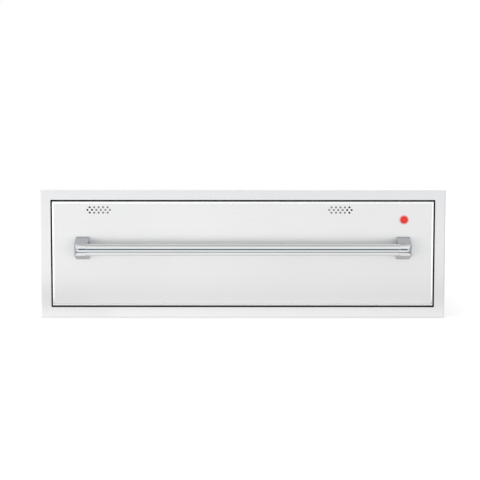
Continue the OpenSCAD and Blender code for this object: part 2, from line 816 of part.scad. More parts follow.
module heating_element() {
    color([0.35, 0.33, 0.32]) union() {
        for (side = [-1, 1]) on_side(side) {
            rod_y(element_d, [element_x1, element_inner_y, element_z], element_end_y - element_inner_y);
            element_bend(element_x1 + element_bend_r, element_inner_y, 180, 180);
            rod_y(element_d, [element_x2, element_inner_y, element_z], element_rear_y - element_inner_y);
            element_bend(element_x2 + element_bend_r, element_rear_y, 0, 180);
            rod_y(element_d, [element_x3, element_front_y + element_bend_r, element_z],
                  element_rear_y - element_front_y - element_bend_r);
            element_bend(element_x3 - element_bend_r, element_front_y + element_bend_r, 270, 90);
            rod_y(wire_d, [element_x1, element_end_y, element_z], element_pin_l);
        }
        rod_x(element_d, [element_bend_r - element_x3, element_front_y, element_z],
              2 * (element_x3 - element_bend_r));
    }
}

// Where the element's clips stand along its two outer runs and its front run
function clip_ys() = [element_front_y + 2 * element_bend_r, element_rear_y - element_bend_r / 2];

// Height of a clip above the element
clip_top = 3;

module element_clips() {
    clip_z1 = element_z + element_d / 2 + clip_top;
    color([0.75, 0.75, 0.76]) union() {
        for (side = [-1, 1], y = clip_ys()) on_side(side) difference() {
            block([element_x3 - clip_w / 2, y, cavity_z0], [element_x3 + clip_w / 2, y + clip_t, clip_z1]);
            rod_y(element_d + 2 * hole_gap, [element_x3, y - cut, element_z], clip_t + 2 * cut);
        }
        for (side = [-1, 1]) on_side(side) difference() {
            block([element_x2, element_front_y - clip_w / 2, cavity_z0],
                  [element_x2 + clip_t, element_front_y + clip_w / 2, clip_z1]);
            rod_x(element_d + 2 * hole_gap, [element_x2 - cut, element_front_y, element_z],
                  clip_t + 2 * cut);
        }
    }
}

module element_bushings() {
    color([0.93, 0.91, 0.86]) for (side = [-1, 1]) on_side(side) difference() {
        union() {
            rod_y(bushing_flange_d, [element_x1, cavity_back_y - bushing_flange_t, element_z],
                  bushing_flange_t);
            rod_y(bushing_neck_d, [element_x1, cavity_back_y - cut, element_z],
                  liner_sheet + bushing_neck_l + cut);
        }
        rod_y(element_d + 2 * hole_gap, [element_x1, cavity_back_y - bushing_flange_t - cut, element_z],
              bushing_flange_t + liner_sheet + bushing_neck_l + 2 * cut);
    }
}

// -------------------- power and wiring

module power_inlet() {
    color([0.12, 0.12, 0.13]) difference() {
        union() {
            block([inlet_x - inlet_w / 2, inlet_inner_y, inlet_z - inlet_h / 2],
                  [inlet_x + inlet_w / 2, rear_y - inlet_flange_t / 2, inlet_z + inlet_h / 2]);
            block([inlet_x - inlet_flange_w / 2, rear_y - inlet_flange_t, inlet_z - inlet_flange_h / 2],
                  [inlet_x + inlet_flange_w / 2, rear_y, inlet_z + inlet_flange_h / 2]);
        }
        block([inlet_x - socket_w / 2, rear_y - socket_d, inlet_z - socket_h / 2],
              [inlet_x + socket_w / 2, rear_y + cut, inlet_z + socket_h / 2]);
        at_inlet_pins()
            block([-pin_w / 2, inlet_inner_y - cut, -pin_h / 2], [pin_w / 2, rear_y, pin_h / 2]);
    }
}

// The three flat pins of the inlet
pin_w = 2;
pin_h = 4;
pin_pitch = 7;
pin_raise = 2;
pin_reach = 13;
pin_tail = 8;

module at_inlet_pins() {
    for (k = [-1 : 1]) translate([inlet_x + k * pin_pitch, 0, inlet_z + (k == 0 ? pin_raise : -pin_raise)])
        children();
}

module inlet_pins() {
    color([0.8, 0.7, 0.4]) at_inlet_pins()
        block([-pin_w / 2, inlet_inner_y - pin_tail, -pin_h / 2],
              [pin_w / 2, rear_y - socket_d + pin_reach, pin_h / 2]);
}

module terminal_block() {
    color([0.9, 0.88, 0.8]) difference() {
        block([block_x - block_w / 2, block_y, block_z - block_h / 2],
              [block_x + block_w / 2, rear_panel_y, block_z + block_h / 2]);
        for (k = [0 : block_poles - 1]) {
            rod_z(wire_d + 2 * hole_gap, [pole_x(k), block_y + block_d / 2, block_z - block_h / 2 - cut],
                  block_h + 2 * cut);
            rod_y(wire_d, [pole_x(k), block_y - cut, block_z], block_d / 2);
        }
    }
}

function pole_x(k) = block_x + (k - (block_poles - 1) / 2) * pole_pitch;

// How far a wire runs into a pole, and the steps between the levels at which the wires run
wire_seat = 6;
lane_step = 8;
wire_y = block_y + block_d / 2;
element_pin_l = 5;

// A wire from its first stops along a level of its own to a pole, entered from below or above
module wire_to_pole(stops, lane, pole, end_z) {
    from = stops[len(stops) - 1];
    tube(route(concat(stops, [[from[0], from[1], lane], [pole_x(pole), wire_y, lane],
                              [pole_x(pole), wire_y, end_z]]), wire_bend / 2), wire_d);
}

module casing_wiring() {
    block_low = block_z - block_h / 2;
    block_high = block_z + block_h / 2;
    tail_y = inlet_inner_y - pin_tail / 2;
    element_pin_y = element_end_y + element_pin_l + running_gap;
    color([0.7, 0.25, 0.15]) union() {
        for (k = [-1 : 1])
            let (low = inlet_z + (k == 0 ? pin_raise : -pin_raise) - pin_h / 2 - running_gap)
                wire_to_pole([[inlet_x + k * pin_pitch, tail_y, low]],
                             inlet_z - inlet_h / 2 - (2 - k) * lane_step, 1 - k, block_low + wire_seat);
        for (side = [-1, 1])
            let (x = side * element_x1)
                wire_to_pole([[x, element_pin_y, element_z], [x, wire_y, element_z]],
                             block_high + (side < 0 ? 2 : 3) * lane_step,
                             block_poles - (side < 0 ? 1 : 2), block_high - wire_seat);
        for (k = [0, 1])
            let (z = lead_z + (1 - 2 * k) * wire_d, y = wire_y - (1 - k) * 2 * wire_d)
                wire_to_pole([[lead_x, cavity_back_y, z], [lead_x, y, z]],
                             block_high + (4 + k) * lane_step,
                             block_poles - 3 - k, block_high - wire_seat);
    }
}

module lead_grommet() {
    color([0.1, 0.1, 0.1]) difference() {
        union() {
            rod_y(grommet_neck_d, [lead_x, cavity_back_y - cut, lead_z], liner_sheet + 2 * cut);
            rod_y(grommet_d, [lead_x, liner_back_y, lead_z], grommet_flange_t);
            rod_y(grommet_d, [lead_x, cavity_back_y - grommet_flange_t, lead_z], grommet_flange_t);
        }
        for (k = [-1, 1])
            translate([lead_x, cavity_back_y - grommet_flange_t - cut, lead_z + k * wire_d])
                rod_y(wire_d + 2 * hole_gap, [0, 0, 0], 2 * grommet_flange_t + liner_sheet + 2 * cut);
    }
}

module curly_lead() {
    color([0.08, 0.08, 0.08])
        rod_y(lead_d, [lead_x, anchor_y + running_gap, lead_z],
              cavity_back_y - grommet_flange_t - anchor_y - 2 * running_gap);
}

// -------------------- feet

module at_feet() {
    for (x = [-foot_x, foot_x], y = [foot_front_y, foot_rear_y]) translate([x, y, 0]) children();
}

// Height of the rubber between a foot screw's head and the base pan
foot_grip = 10;

module rubber_feet() {
    head_z = casing_z0 - foot_grip;
    color([0.1, 0.1, 0.1]) at_feet() difference() {
        cylinder(d1 = foot_sole_d, d2 = foot_d, h = casing_z0);
        rod_z(bolt_d + 2 * hole_gap, [0, 0, -cut], casing_z0 + 2 * cut);
        rod_z(bolt_head_d + 4 * hole_gap, [0, 0, -cut], head_z + cut);
    }
}

module foot_screws() {
    head_z = casing_z0 - foot_grip;
    color([0.55, 0.55, 0.56]) at_feet() {
        rod_z(bolt_head_d, [0, 0, head_z - bolt_head_h], bolt_head_h);
        rod_z(bolt_d, [0, 0, head_z - cut], jamb_z0 + screw_tip + cut - head_z);
    }
}

// -------------------- slides

// Draws a slide's cross-section, given as distances from the cavity's wall (first) and from the
// slide's middle (second), as a bar along Y on one side of the cavity
module slide_bar(side, y, l) {
    on_side(side) translate([cavity_x, y + l, slide_z]) rotate([90, 0, 0]) linear_extrude(l)
        mirror([1, 0]) children();
}

// The cross-section of a channel whose web is at u0 and whose flanges reach to u1
module channel(u0, u1, top, sheet) {
    web = u0 + sheet * sign(u1 - u0);
    polygon([
        [u0, -top], [u1, -top], [u1, sheet - top], [web, sheet - top],
        [web, top - sheet], [u1, top - sheet], [u1, top], [u0, top]
    ]);
}

// Where the slides' rivets are, along Y, as shares of a slide's length
function rivet_ys() = [for (share = [0.04, 0.1, 0.94]) slide_y + slide_l * share];

module slide_outer(side) {
    lip_end = middle_top + ball_space / 4;
    color([0.74, 0.75, 0.77]) difference() {
        slide_bar(side, slide_y, slide_l) {
            channel(0, outer_lip, slide_h / 2, slide_sheet);
            for (v = [lip_end, -slide_h / 2 + slide_sheet / 2])
                translate([outer_lip - slide_sheet, v])
                    square([slide_sheet, slide_h / 2 - slide_sheet / 2 - lip_end]);
        }
        on_side(side) for (y = rivet_ys())
            rod_x(rivet_d + 2 * hole_gap, [cavity_x - slide_sheet - cut, y, slide_z],
                  slide_sheet + 2 * cut);
    }
}

module slide_outer_left() slide_outer(-1);

module slide_outer_right() slide_outer(1);

module slide_middle(side) {
    color([0.76, 0.77, 0.79])
        slide_bar(side, slide_y, slide_l) channel(middle_web, middle_flange, middle_top, slide_sheet);
}

module slide_middle_left() slide_middle(-1);

module slide_middle_right() slide_middle(1);

module slide_inner(side) {
    color([0.78, 0.79, 0.81]) difference() {
        slide_bar(side, slide_y, slide_l) channel(slide_t, inner_flange, inner_top, slide_sheet);
        on_side(side) for (y = rivet_ys())
            rod_x(rivet_d + 2 * hole_gap, [tub_x - cut, y, slide_z], slide_sheet + 2 * cut);
    }
}

module slide_inner_left() slide_inner(-1);

module slide_inner_right() slide_inner(1);

module casing_slide_rivets() {
    color([0.6, 0.6, 0.6]) for (side = [-1, 1], y = rivet_ys()) on_side(side) {
        rod_x(rivet_head_d, [cavity_x - slide_sheet - rivet_head_h, y, slide_z], rivet_head_h);
        rod_x(rivet_d, [cavity_x - slide_sheet - rivet_head_h / 2, y, slide_z],
              slide_sheet + liner_sheet + rivet_head_h / 2);
    }
}

module drawer_slide_rivets() {
    color([0.6, 0.6, 0.6]) for (side = [-1, 1], y = rivet_ys()) on_side(side) {
        rod_x(rivet_head_d, [tub_x + slide_sheet, y, slide_z], rivet_head_h);
        rod_x(rivet_d, [tub_x - tub_sheet, y, slide_z], tub_sheet + slide_sheet + rivet_head_h / 2);
    }
}

// A channel-shaped cage and its balls, on both sides of the drawer
module ball_cages(web, end, race, ball) {
    mid = race - ball_space / 2;
    pitch = cage_l / cage_balls;
    for (side = [-1, 1]) difference() {
        slide_bar(side, cage_y, cage_l) channel(web, end, mid + cage_sheet / 2, cage_sheet);
        on_side(side) for (v = [-1, 1], k = [0 : cage_balls - 1])
            translate([cavity_x - ball, cage_y + (k + 0.5) * pitch, slide_z + v * mid])
                rod_z(ball_d + hole_gap, [0, 0, -cage_sheet], 2 * cage_sheet);
    }
    for (side = [-1, 1], v = [-1, 1], k = [0 : cage_balls - 1])
        translate([side * (cavity_x - ball), cage_y + (k + 0.5) * pitch, slide_z + v * mid])
            sphere(d = ball_d);
}

module outer_ball_cages()
    color([0.85, 0.85, 0.86]) ball_cages(outer_cage_web, outer_cage_end, outer_race, outer_ball);

module inner_ball_cages()
    color([0.85, 0.85, 0.86]) ball_cages(inner_cage_web, inner_cage_end, middle_race, inner_ball);

// -------------------- drawer front

// Places children at both vents, drawn for the left one: its shutter opens towards +X
module at_vents() {
    for (vent = vents) at_vent(vent) children();
}

module at_vent(vent) {
    translate([vent[0], 0, vent_z]) on_side(vent[1]) children();
}

// Places children at each hole of a vent
module at_vent_holes() {
    for (row = [-1 : 1])
        let (holes = row == 0 ? vent_holes : vent_holes - 1)
            for (k = [0 : holes - 1])
                translate([(k - (holes - 1) / 2) * vent_pitch, 0, row * vent_row]) children();
}

// The outside of a vent duct, made larger all round by a gap
module duct_outside(y0, y1, gap) {
    block([duct_x0 - duct_wall - gap, y0, -duct_half_h - duct_wall - gap],
          [duct_x1 + duct_wall + gap, y1, duct_half_h + duct_wall + gap]);
}

// Places children, at y 0, at the screws of each bracket
module at_bracket_screws() {
    for (side = [-1, 1], v = [-1, 1])
        translate([side * bracket_mid_x, 0, handle_z + v * bracket_screw_gap / 2]) children();
}

// The front's screws: their inset, and half the distances between their middle pairs
front_screw_inset = (gasket_inset + gasket_w + front_flange) / 2;
front_screw_half_x = front_x / 7;
front_screw_half_z = front_x / 9;

// Places children, at y 0, at the screws that join the skin and the inner panel
module at_front_screws() {
    x = front_x - front_screw_inset;
    for (side = [-1, 1]) {
        for (u = [x, front_screw_half_x], z = [front_z0 + front_screw_inset, front_z1 - front_screw_inset])
            translate([side * u, 0, z]) children();
        for (v = [-1, 1])
            translate([side * x, 0, (front_z0 + front_z1) / 2 + v * front_screw_half_z]) children();
    }
}

// Places children, at y 0, at the screws that join the tub and the inner panel
module at_tub_screws() {
    for (share = [-0.75, -0.25, 0.25, 0.85], z = [tub_z0 + 3 * screw_head_d, slide_z + 2 * screw_head_d])
        translate([share * tub_x, 0, z]) children();
}

module lamp_hole(y0, y1) {
    rod_y(lamp_body_d + 2 * hole_gap, [lamp_x, y0, lamp_z], y1 - y0);
}

module front_skin() {
    color([0.92, 0.92, 0.91]) difference() {
        bent_block([-front_x, front_y, front_z0], [front_x, front_inside_y, front_z1], front_bend_r);
        block([-front_x + front_sheet, front_y + front_sheet, front_z0 + front_sheet],
              [front_x - front_sheet, flange_front_y, front_z1 - front_sheet]);
        block([-front_x + front_flange, front_y + front_sheet, front_z0 + front_flange],
              [front_x - front_flange, front_inside_y + cut, front_z1 - front_flange]);
        at_vents() {
            at_vent_holes() rod_y(vent_hole_d, [0, front_y - cut, 0], front_sheet + 2 * cut);
            duct_outside(flange_front_y - cut, front_inside_y + cut, hole_gap);
        }
        lamp_hole(front_y - cut, front_y + front_sheet + cut);
        at_bracket_screws() rod_y(bolt_d + 2 * hole_gap, [0, front_y - cut, 0], front_sheet + 2 * cut);
        at_front_screws()
            rod_y(screw_d + 2 * hole_gap, [0, flange_front_y - cut, 0], front_sheet + 2 * cut);
    }
}

module front_inner_panel() {
    color([0.8, 0.8, 0.8]) difference() {
        block([-front_x, front_inside_y, front_z0], [front_x, front_back_y, front_z1]);
        at_vents()
            block([-shutter_stud_d / 2 - running_gap, front_inside_y - cut, -shutter_slot_h / 2],
                  [shutter_travel + shutter_stud_d / 2 + running_gap, front_back_y + cut,
                   shutter_slot_h / 2]);
        lamp_hole(front_inside_y - cut, front_back_y + cut);
        at_front_screws() panel_screw_hole();
        at_tub_screws() panel_screw_hole();
    }
}

module panel_screw_hole()
    rod_y(screw_d + 2 * hole_gap, [0, front_inside_y - cut, 0], front_sheet + 2 * cut);

module front_insulation() {
    edge = front_sheet + soft_gap;
    color([0.9, 0.84, 0.6]) difference() {
        block([-front_x + edge, front_y + edge, front_z0 + edge],
              [front_x - edge, flange_front_y - soft_gap, front_z1 - edge]);
        at_vents() duct_outside(front_y, front_back_y, soft_gap);
        lamp_hole(front_y, front_back_y);
        for (side = [-1, 1]) on_side(side)
            block([bracket_mid_x - backing_w / 2 - soft_gap, front_y, handle_z - backing_h / 2 - soft_gap],
                  [bracket_mid_x + backing_w / 2 + soft_gap,
                   front_y + front_sheet + backing_t + bolt_head_h + 2 * soft_gap,
                   handle_z + backing_h / 2 + soft_gap]);
        at_front_screws() insulation_screw_hole();
        at_tub_screws() insulation_screw_hole();
    }
}

module insulation_screw_hole()
    rod_y(screw_d + 2 * soft_gap, [0, flange_front_y - screw_tip - cut, 0], screw_tip + 2 * cut);

module front_gasket() {
    out = gasket_inset;
    in = gasket_inset + gasket_w;
    color([0.25, 0.25, 0.25]) difference() {
        block([-front_x + out, front_back_y, front_z0 + out],
              [front_x - out, front_back_y + gasket_t, front_z1 - out]);
        block([-front_x + in, front_back_y - cut, front_z0 + in],
              [front_x - in, front_back_y + gasket_t + cut, front_z1 - in]);
    }
}

module front_screws() {
    color([0.55, 0.55, 0.56]) {
        at_front_screws()
            screw_to_front(screw_d, screw_head_d, screw_head_h, [0, front_back_y, 0],
                           2 * front_sheet + screw_tip);
        at_tub_screws()
            screw_to_front(screw_d, screw_head_d, screw_head_h, [0, front_back_y + tub_sheet, 0],
                           front_sheet + tub_sheet + screw_tip);
    }
}

// -------------------- handle

module handle_bar() {
    half = bar_end_x - hole_gap;
    color([0.86, 0.87, 0.89]) rod_x(bar_d, [-half, bar_y, handle_z], 2 * half);
}

// The outline of the right bracket seen from above
module bracket_plan() {
    inner = bracket_x - bracket_foot_w;
    nose_y = front_y - handle_reach;
    nose_x0 = inner + bracket_draft;
    nose_x1 = nose_x0 + bracket_nose_w;
    difference() {
        polygon([[inner, front_y], [bracket_x, front_y], [nose_x1, nose_y], [nose_x0, nose_y]]);
        translate([nose_x1 - bracket_corner_r, nose_y + bracket_corner_r]) difference() {
            translate([0, -bracket_corner_r - cut]) square(bracket_corner_r + cut);
            circle(bracket_corner_r);
        }
    }
}

// A bracket's side view, drawn out along X: a round nose, and slopes from it to the foot
module bracket_wedge() {
    r = bracket_nose_h / 2;
    half = bracket_foot_h / 2;
    away = handle_reach - r;
    tangent = atan2(half, away) + acos(r / norm([away, half]));
    nose_y = front_y - away;
    translate([0, 0, handle_z]) rotate([90, 0, 90]) linear_extrude(bracket_x + cut) polygon([
        [front_y, -half], [front_y, half],
        [nose_y + r * cos(tangent), r * sin(tangent)], [nose_y + r * cos(tangent), -r * sin(tangent)]
    ]);
    rod_x(bracket_nose_h, [0, nose_y, handle_z], bracket_x + cut);
}

// The set screw behind each end of the bar
set_screw_x = bar_end_x - bar_socket / 2;
set_screw_l = 10;

module handle_bracket(side) {
    on_side(side) difference() {
        intersection() {
            translate([0, 0, handle_z - bracket_foot_h / 2]) linear_extrude(bracket_foot_h) bracket_plan();
            bracket_wedge();
        }
        rod_x(bar_d + 2 * hole_gap, [bar_end_x - bar_socket - 3 * cut, bar_y, handle_z],
              bar_socket + 3 * cut);
        rod_y(set_screw_d + 2 * hole_gap, [set_screw_x, bar_y, handle_z], bar_reach + cut);
        for (v = [-1, 1])
            rod_y(bolt_d + 2 * hole_gap,
                  [bracket_mid_x, front_y - bolt_grip - cut, handle_z + v * bracket_screw_gap / 2],
                  bolt_grip + 2 * cut);
    }
}

module handle_bracket_left() color([0.8, 0.82, 0.85]) handle_bracket(-1);

module handle_bracket_right() color([0.8, 0.82, 0.85]) handle_bracket(1);

module handle_backing_plates() {
    plate_y = front_y + front_sheet;
    color([0.6, 0.6, 0.62]) difference() {
        for (side = [-1, 1]) on_side(side)
            block([bracket_mid_x - backing_w / 2, plate_y, handle_z - backing_h / 2],
                  [bracket_mid_x + backing_w / 2, plate_y + backing_t, handle_z + backing_h / 2]);
        at_bracket_screws() rod_y(bolt_d + 2 * hole_gap, [0, plate_y - cut, 0], backing_t + 2 * cut);
    }
}

module handle_screws() {
    color([0.5, 0.5, 0.52]) {
        at_bracket_screws()
            screw_to_front(bolt_d, bolt_head_d, bolt_head_h, [0, front_y + front_sheet + backing_t, 0],
                           front_sheet + backing_t + bolt_grip);
        for (side = [-1, 1]) on_side(side)
            rod_y(set_screw_d, [set_screw_x, bar_y + bar_d / 2, handle_z], set_screw_l);
    }
}

// -------------------- pilot lamp

// Length of the lens's barrel behind the front, and the lamp's two blades
barrel_l = 6;
blade_w = 0.8;
blade_h = 5;
blade_l = 8;
blade_pitch = 6;

module pilot_lamp_lens() {
    flange_y = front_y - lens_flange_t;
    step_y = flange_y - lens_step_t;
    color([0.87, 0.14, 0.15]) union() {
        rod_y(lens_flange_d, [lamp_x, flange_y, lamp_z], lens_flange_t);
        rod_y(lens_step_d, [lamp_x, step_y, lamp_z], lens_step_t + lens_flange_t / 2);
        rod_y(lens_button_d, [lamp_x, step_y - lens_button_t, lamp_z], lens_button_t + lens_step_t / 2);
        rod_y(lens_barrel_d, [lamp_x, front_y - lens_flange_t / 2, lamp_z], lens_flange_t / 2 + barrel_l);
    }
}

module pilot_lamp_body() {
    back_y = front_y + lamp_body_l;
    color([0.9, 0.9, 0.88]) difference() {
        union() {
            rod_y(lamp_body_d, [lamp_x, front_y, lamp_z], lamp_body_l);
            for (k = [-1, 1])
                translate([lamp_x + k * blade_pitch / 2, back_y, lamp_z])
                    block([-blade_w / 2, -cut, -blade_h / 2], [blade_w / 2, blade_l, blade_h / 2]);
        }
        rod_y(lens_barrel_d + 2 * hole_gap, [lamp_x, front_y - cut, lamp_z], barrel_l + 2 * cut);
    }
}

// -------------------- vents

module vent_ducts() {
    rail_y = shutter_back_y + running_gap;
    color([0.7, 0.7, 0.72]) at_vents() union() {
        difference() {
            duct_outside(front_y + front_sheet, front_inside_y, 0);
            block([duct_x0, front_y, -duct_half_h], [duct_x1, front_back_y, duct_half_h]);
        }
        for (v = [-1, 1]) on_level(v)
            block([duct_x0 - duct_wall / 2, rail_y, duct_half_h - duct_rail],
                  [duct_x1 + duct_wall / 2, rail_y + duct_wall, duct_half_h + duct_wall / 2]);
    }
}

// Draws an upper piece above its middle (v 1) or mirrored below it (v -1)
module on_level(v) {
    if (v < 0) mirror([0, 0, 1]) children();
    else children();
}

module vent_shutter(vent) {
    color([0.66, 0.66, 0.67]) at_vent(vent) translate([shutter_open, 0, 0]) union() {
        block([-shutter_w / 2, shutter_front_y, -shutter_h / 2],
              [shutter_w / 2, shutter_back_y, shutter_h / 2]);
        rod_y(shutter_stud_d, [0, shutter_back_y - shutter_t / 2, 0],
              shutter_knob_y + shutter_knob_l * 3 / 4 - shutter_back_y + shutter_t / 2);
    }
}

module vent_shutter_left() vent_shutter(vents[0]);

module vent_shutter_right() vent_shutter(vents[1]);

module shutter_knob(vent) {
    color([0.15, 0.15, 0.16]) at_vent(vent) translate([shutter_open, 0, 0]) difference() {
        rod_y(shutter_knob_d, [0, shutter_knob_y, 0], shutter_knob_l);
        rod_y(shutter_stud_d + 2 * spindle_gap, [0, shutter_knob_y - cut, 0],
              shutter_knob_l * 3 / 4 + cut + spindle_gap);
    }
}

module shutter_knob_left() shutter_knob(vents[0]);

module shutter_knob_right() shutter_knob(vents[1]);

// -------------------- drawer tub and control channel

// A welded box of five sheets; its rear and side walls have a flange around the rim
module drawer_tub() {
    wall_z0 = tub_z0 + tub_sheet + seam;
    wall_y0 = front_back_y + tub_sheet + seam;
    wall_y1 = tub_back_y - tub_sheet - seam;
    color([0.83, 0.83, 0.84]) difference() {
        union() {
            block([-tub_x, front_back_y, tub_z0], [tub_x, tub_back_y, tub_z0 + tub_sheet]);
            block([-tub_x, front_back_y, wall_z0], [tub_x, front_back_y + tub_sheet, rim_z]);
            block([-tub_x, tub_back_y - tub_sheet, wall_z0], [tub_x, tub_back_y, rim_z]);
            block([-tub_x, tub_back_y - tub_sheet / 2, rim_z - tub_sheet],
                  [tub_x, tub_back_y + rim_flange, rim_z]);
            for (side = [-1, 1]) on_side(side) {
                block([tub_x - tub_sheet, wall_y0, wall_z0], [tub_x, wall_y1, rim_z]);
                block([tub_x - tub_sheet / 2, landing_back_y, rim_z - tub_sheet],
                      [tub_x + rim_flange, wall_y1, rim_z]);
            }
        }
        lamp_hole(front_back_y - cut, front_back_y + tub_sheet + cut);
        at_tub_screws()
            rod_y(screw_d + 2 * hole_gap, [0, front_back_y - cut, 0], tub_sheet + 2 * cut);
        for (side = [-1, 1], y = rivet_ys()) on_side(side)
            rod_x(rivet_d + 2 * hole_gap, [tub_x - tub_sheet - cut, y, slide_z], tub_sheet + 2 * cut);
        rod_y(lead_hole_d, [lead_x, tub_back_y - tub_sheet - cut, lead_z], tub_sheet + 2 * cut);
    }
}

module channel_partition() {
    wall_y0 = front_back_y + tub_sheet;
    wall_y1 = tub_back_y - tub_sheet;
    color([0.8, 0.8, 0.81]) difference() {
        union() {
            block([channel_x - tub_sheet, wall_y0, tub_z0 + tub_sheet], [channel_x, wall_y1, rim_z]);
            block([channel_x - tub_sheet / 2, wall_y0, rim_z - tub_sheet],
                  [channel_x + cover_flange, wall_y1, rim_z]);
            block([channel_x - tub_sheet / 2, anchor_y - tub_sheet, lead_z - anchor_h / 2],
                  [channel_x + anchor_w, anchor_y, lead_z + anchor_h / 2]);
        }
        for (k = [-1, 1])
            rod_y(wire_d + 2 * hole_gap, [lead_x, anchor_y - tub_sheet - cut, lead_z + k * wire_d],
                  tub_sheet + 2 * cut);
    }
}

module channel_cover() {
    color([0.75, 0.75, 0.76]) difference() {
        block([channel_x - tub_sheet, front_back_y, rim_z], [tub_x, tub_back_y, cover_z]);
        rod_z(spindle_d + loose_fit, [dial_x, dial_y, rim_z - cut], cover_sheet + 2 * cut);
    }
}

// The capillary's level below the rim, and the free length between the thermostat and its bulb
bulb_drop = 20;
capillary_l = 40;

module thermostat() {
    back_y = dial_y + thermostat_w / 2;
    bulb_x = channel_x + bulb_d / 2 + running_gap;
    bulb_z = rim_z - bulb_drop;
    bulb_y = back_y + capillary_l;
    bend = capillary_l / 5;
    color([0.82, 0.8, 0.74]) union() {
        difference() {
            block([dial_x - thermostat_w / 2, dial_y - thermostat_w / 2, rim_z - thermostat_h],
                  [dial_x + thermostat_w / 2, back_y, rim_z]);
            rod_z(spindle_d + 2 * spindle_gap, [dial_x, dial_y, rim_z - spindle_depth - hole_gap],
                  spindle_depth + hole_gap + cut);
        }
        tube(route([[dial_x - thermostat_w / 4, back_y - cut, bulb_z],
                    [dial_x - thermostat_w / 4, back_y + capillary_l / 2, bulb_z],
                    [bulb_x, back_y + capillary_l / 2, bulb_z],
                    [bulb_x, bulb_y + cut, bulb_z]], bend), capillary_d);
        rod_y(bulb_d, [bulb_x, bulb_y, bulb_z], bulb_l);
    }
}

// How far the spindle reaches into the knob, and the width of the groove that marks its pointer
spindle_grip = 7;
dial_groove = 1.2;

module thermostat_spindle() {
    color([0.7, 0.7, 0.72])
        rod_z(spindle_d, [dial_x, dial_y, rim_z - spindle_depth],
              spindle_depth + cover_sheet + running_gap + spindle_grip);
}

module thermostat_knob() {
    z = cover_z + running_gap;
    color([0.13, 0.13, 0.14]) difference() {
        union() {
            rod_z(dial_d, [dial_x, dial_y, z], dial_skirt_t);
            rod_z(dial_grip_d, [dial_x, dial_y, z + dial_skirt_t / 2], dial_h - dial_skirt_t / 2);
        }
        rod_z(spindle_d + 2 * spindle_gap, [dial_x, dial_y, z - cut], spindle_grip + cut + spindle_gap);
        for (k = [0 : dial_flutes - 1])
            rotate_about(dial_x, dial_y, 360 * (k + 0.5) / dial_flutes)
                rod_z(dial_flute_d, [dial_x, dial_y - dial_grip_d / 2 - dial_flute_d / 6, z + dial_skirt_t],
                      dial_h);
        block([dial_x - dial_groove / 2, dial_y - dial_grip_d / 2 - cut, z + dial_h - dial_groove / 2],
              [dial_x + dial_groove / 2, dial_y - dial_grip_d / 6, z + dial_h + cut]);
    }
}

module rotate_about(x, y, angle) {
    translate([x, y, 0]) rotate([0, 0, angle]) translate([-x, -y, 0]) children();
}

module drawer_wiring() {
    back_y = dial_y + thermostat_w / 2 + running_gap;
    blade_y = front_y + lamp_body_l + blade_l / 2;
    blade_x = blade_pitch / 2 + blade_w / 2 + running_gap;
    terminal_x = thermostat_w / 5;
    beside = thermostat_w / 2 + wire_bend;
    upper_z = rim_z - bulb_drop + 2 * wire_bend - wire_d;
    color([0.75, 0.75, 0.72]) union() {
        drawer_wire([[lead_x, anchor_y, lead_z + wire_d],
                     [lead_x, anchor_y - 5 * wire_bend, lead_z + wire_d],
                     [dial_x + terminal_x, back_y + 4 * wire_bend, upper_z],
                     [dial_x + terminal_x, back_y, upper_z]]);
        drawer_wire([[lead_x, anchor_y, lead_z - wire_d],
                     [lead_x, anchor_y - 3 * wire_bend, lead_z - wire_d],
                     [dial_x + beside + wire_d, anchor_y - 6 * wire_bend, lead_z],
                     [dial_x + beside + wire_d, blade_y, lamp_z],
                     [lamp_x + blade_x, blade_y, lamp_z]]);
        drawer_wire([[dial_x - terminal_x, back_y, upper_z],
                     [dial_x - terminal_x, back_y + 1.5 * wire_bend, upper_z],
                     [dial_x - beside, back_y + 1.5 * wire_bend, upper_z],
                     [dial_x - beside, blade_y, upper_z],
                     [lamp_x - blade_x, blade_y, lamp_z]]);
    }
}

module drawer_wire(stops) {
    tube(route(stops, wire_bend), wire_d);
}

trim_frame();
frame_jamb();
landing_frame();
casing_top_panel();
casing_left_panel();
casing_right_panel();
base_pan();
rear_panel();
casing_screws();
casing_insulation();
cavity_ceiling();
cavity_floor();
cavity_left_wall();
cavity_right_wall();
cavity_rear_wall();
heating_element();
element_clips();
element_bushings();
terminal_block();
power_inlet();
inlet_pins();
casing_wiring();
lead_grommet();
rubber_feet();
foot_screws();
slide_outer_left();
slide_outer_right();
slide_middle_left();
slide_middle_right();
slide_inner_left();
slide_inner_right();
casing_slide_rivets();
drawer_slide_rivets();
outer_ball_cages();
inner_ball_cages();
front_skin();
front_inner_panel();
front_insulation();
front_gasket();
front_screws();
handle_bar();
handle_bracket_left();
handle_bracket_right();
handle_backing_plates();
handle_screws();
pilot_lamp_lens();
pilot_lamp_body();
vent_ducts();
vent_shutter_left();
vent_shutter_right();
shutter_knob_left();
shutter_knob_right();
drawer_tub();
channel_partition();
channel_cover();
thermostat();
thermostat_spindle();
thermostat_knob();
drawer_wiring();
curly_lead();
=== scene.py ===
import json
import math

import bmesh
import bpy
from mathutils import Matrix, Vector


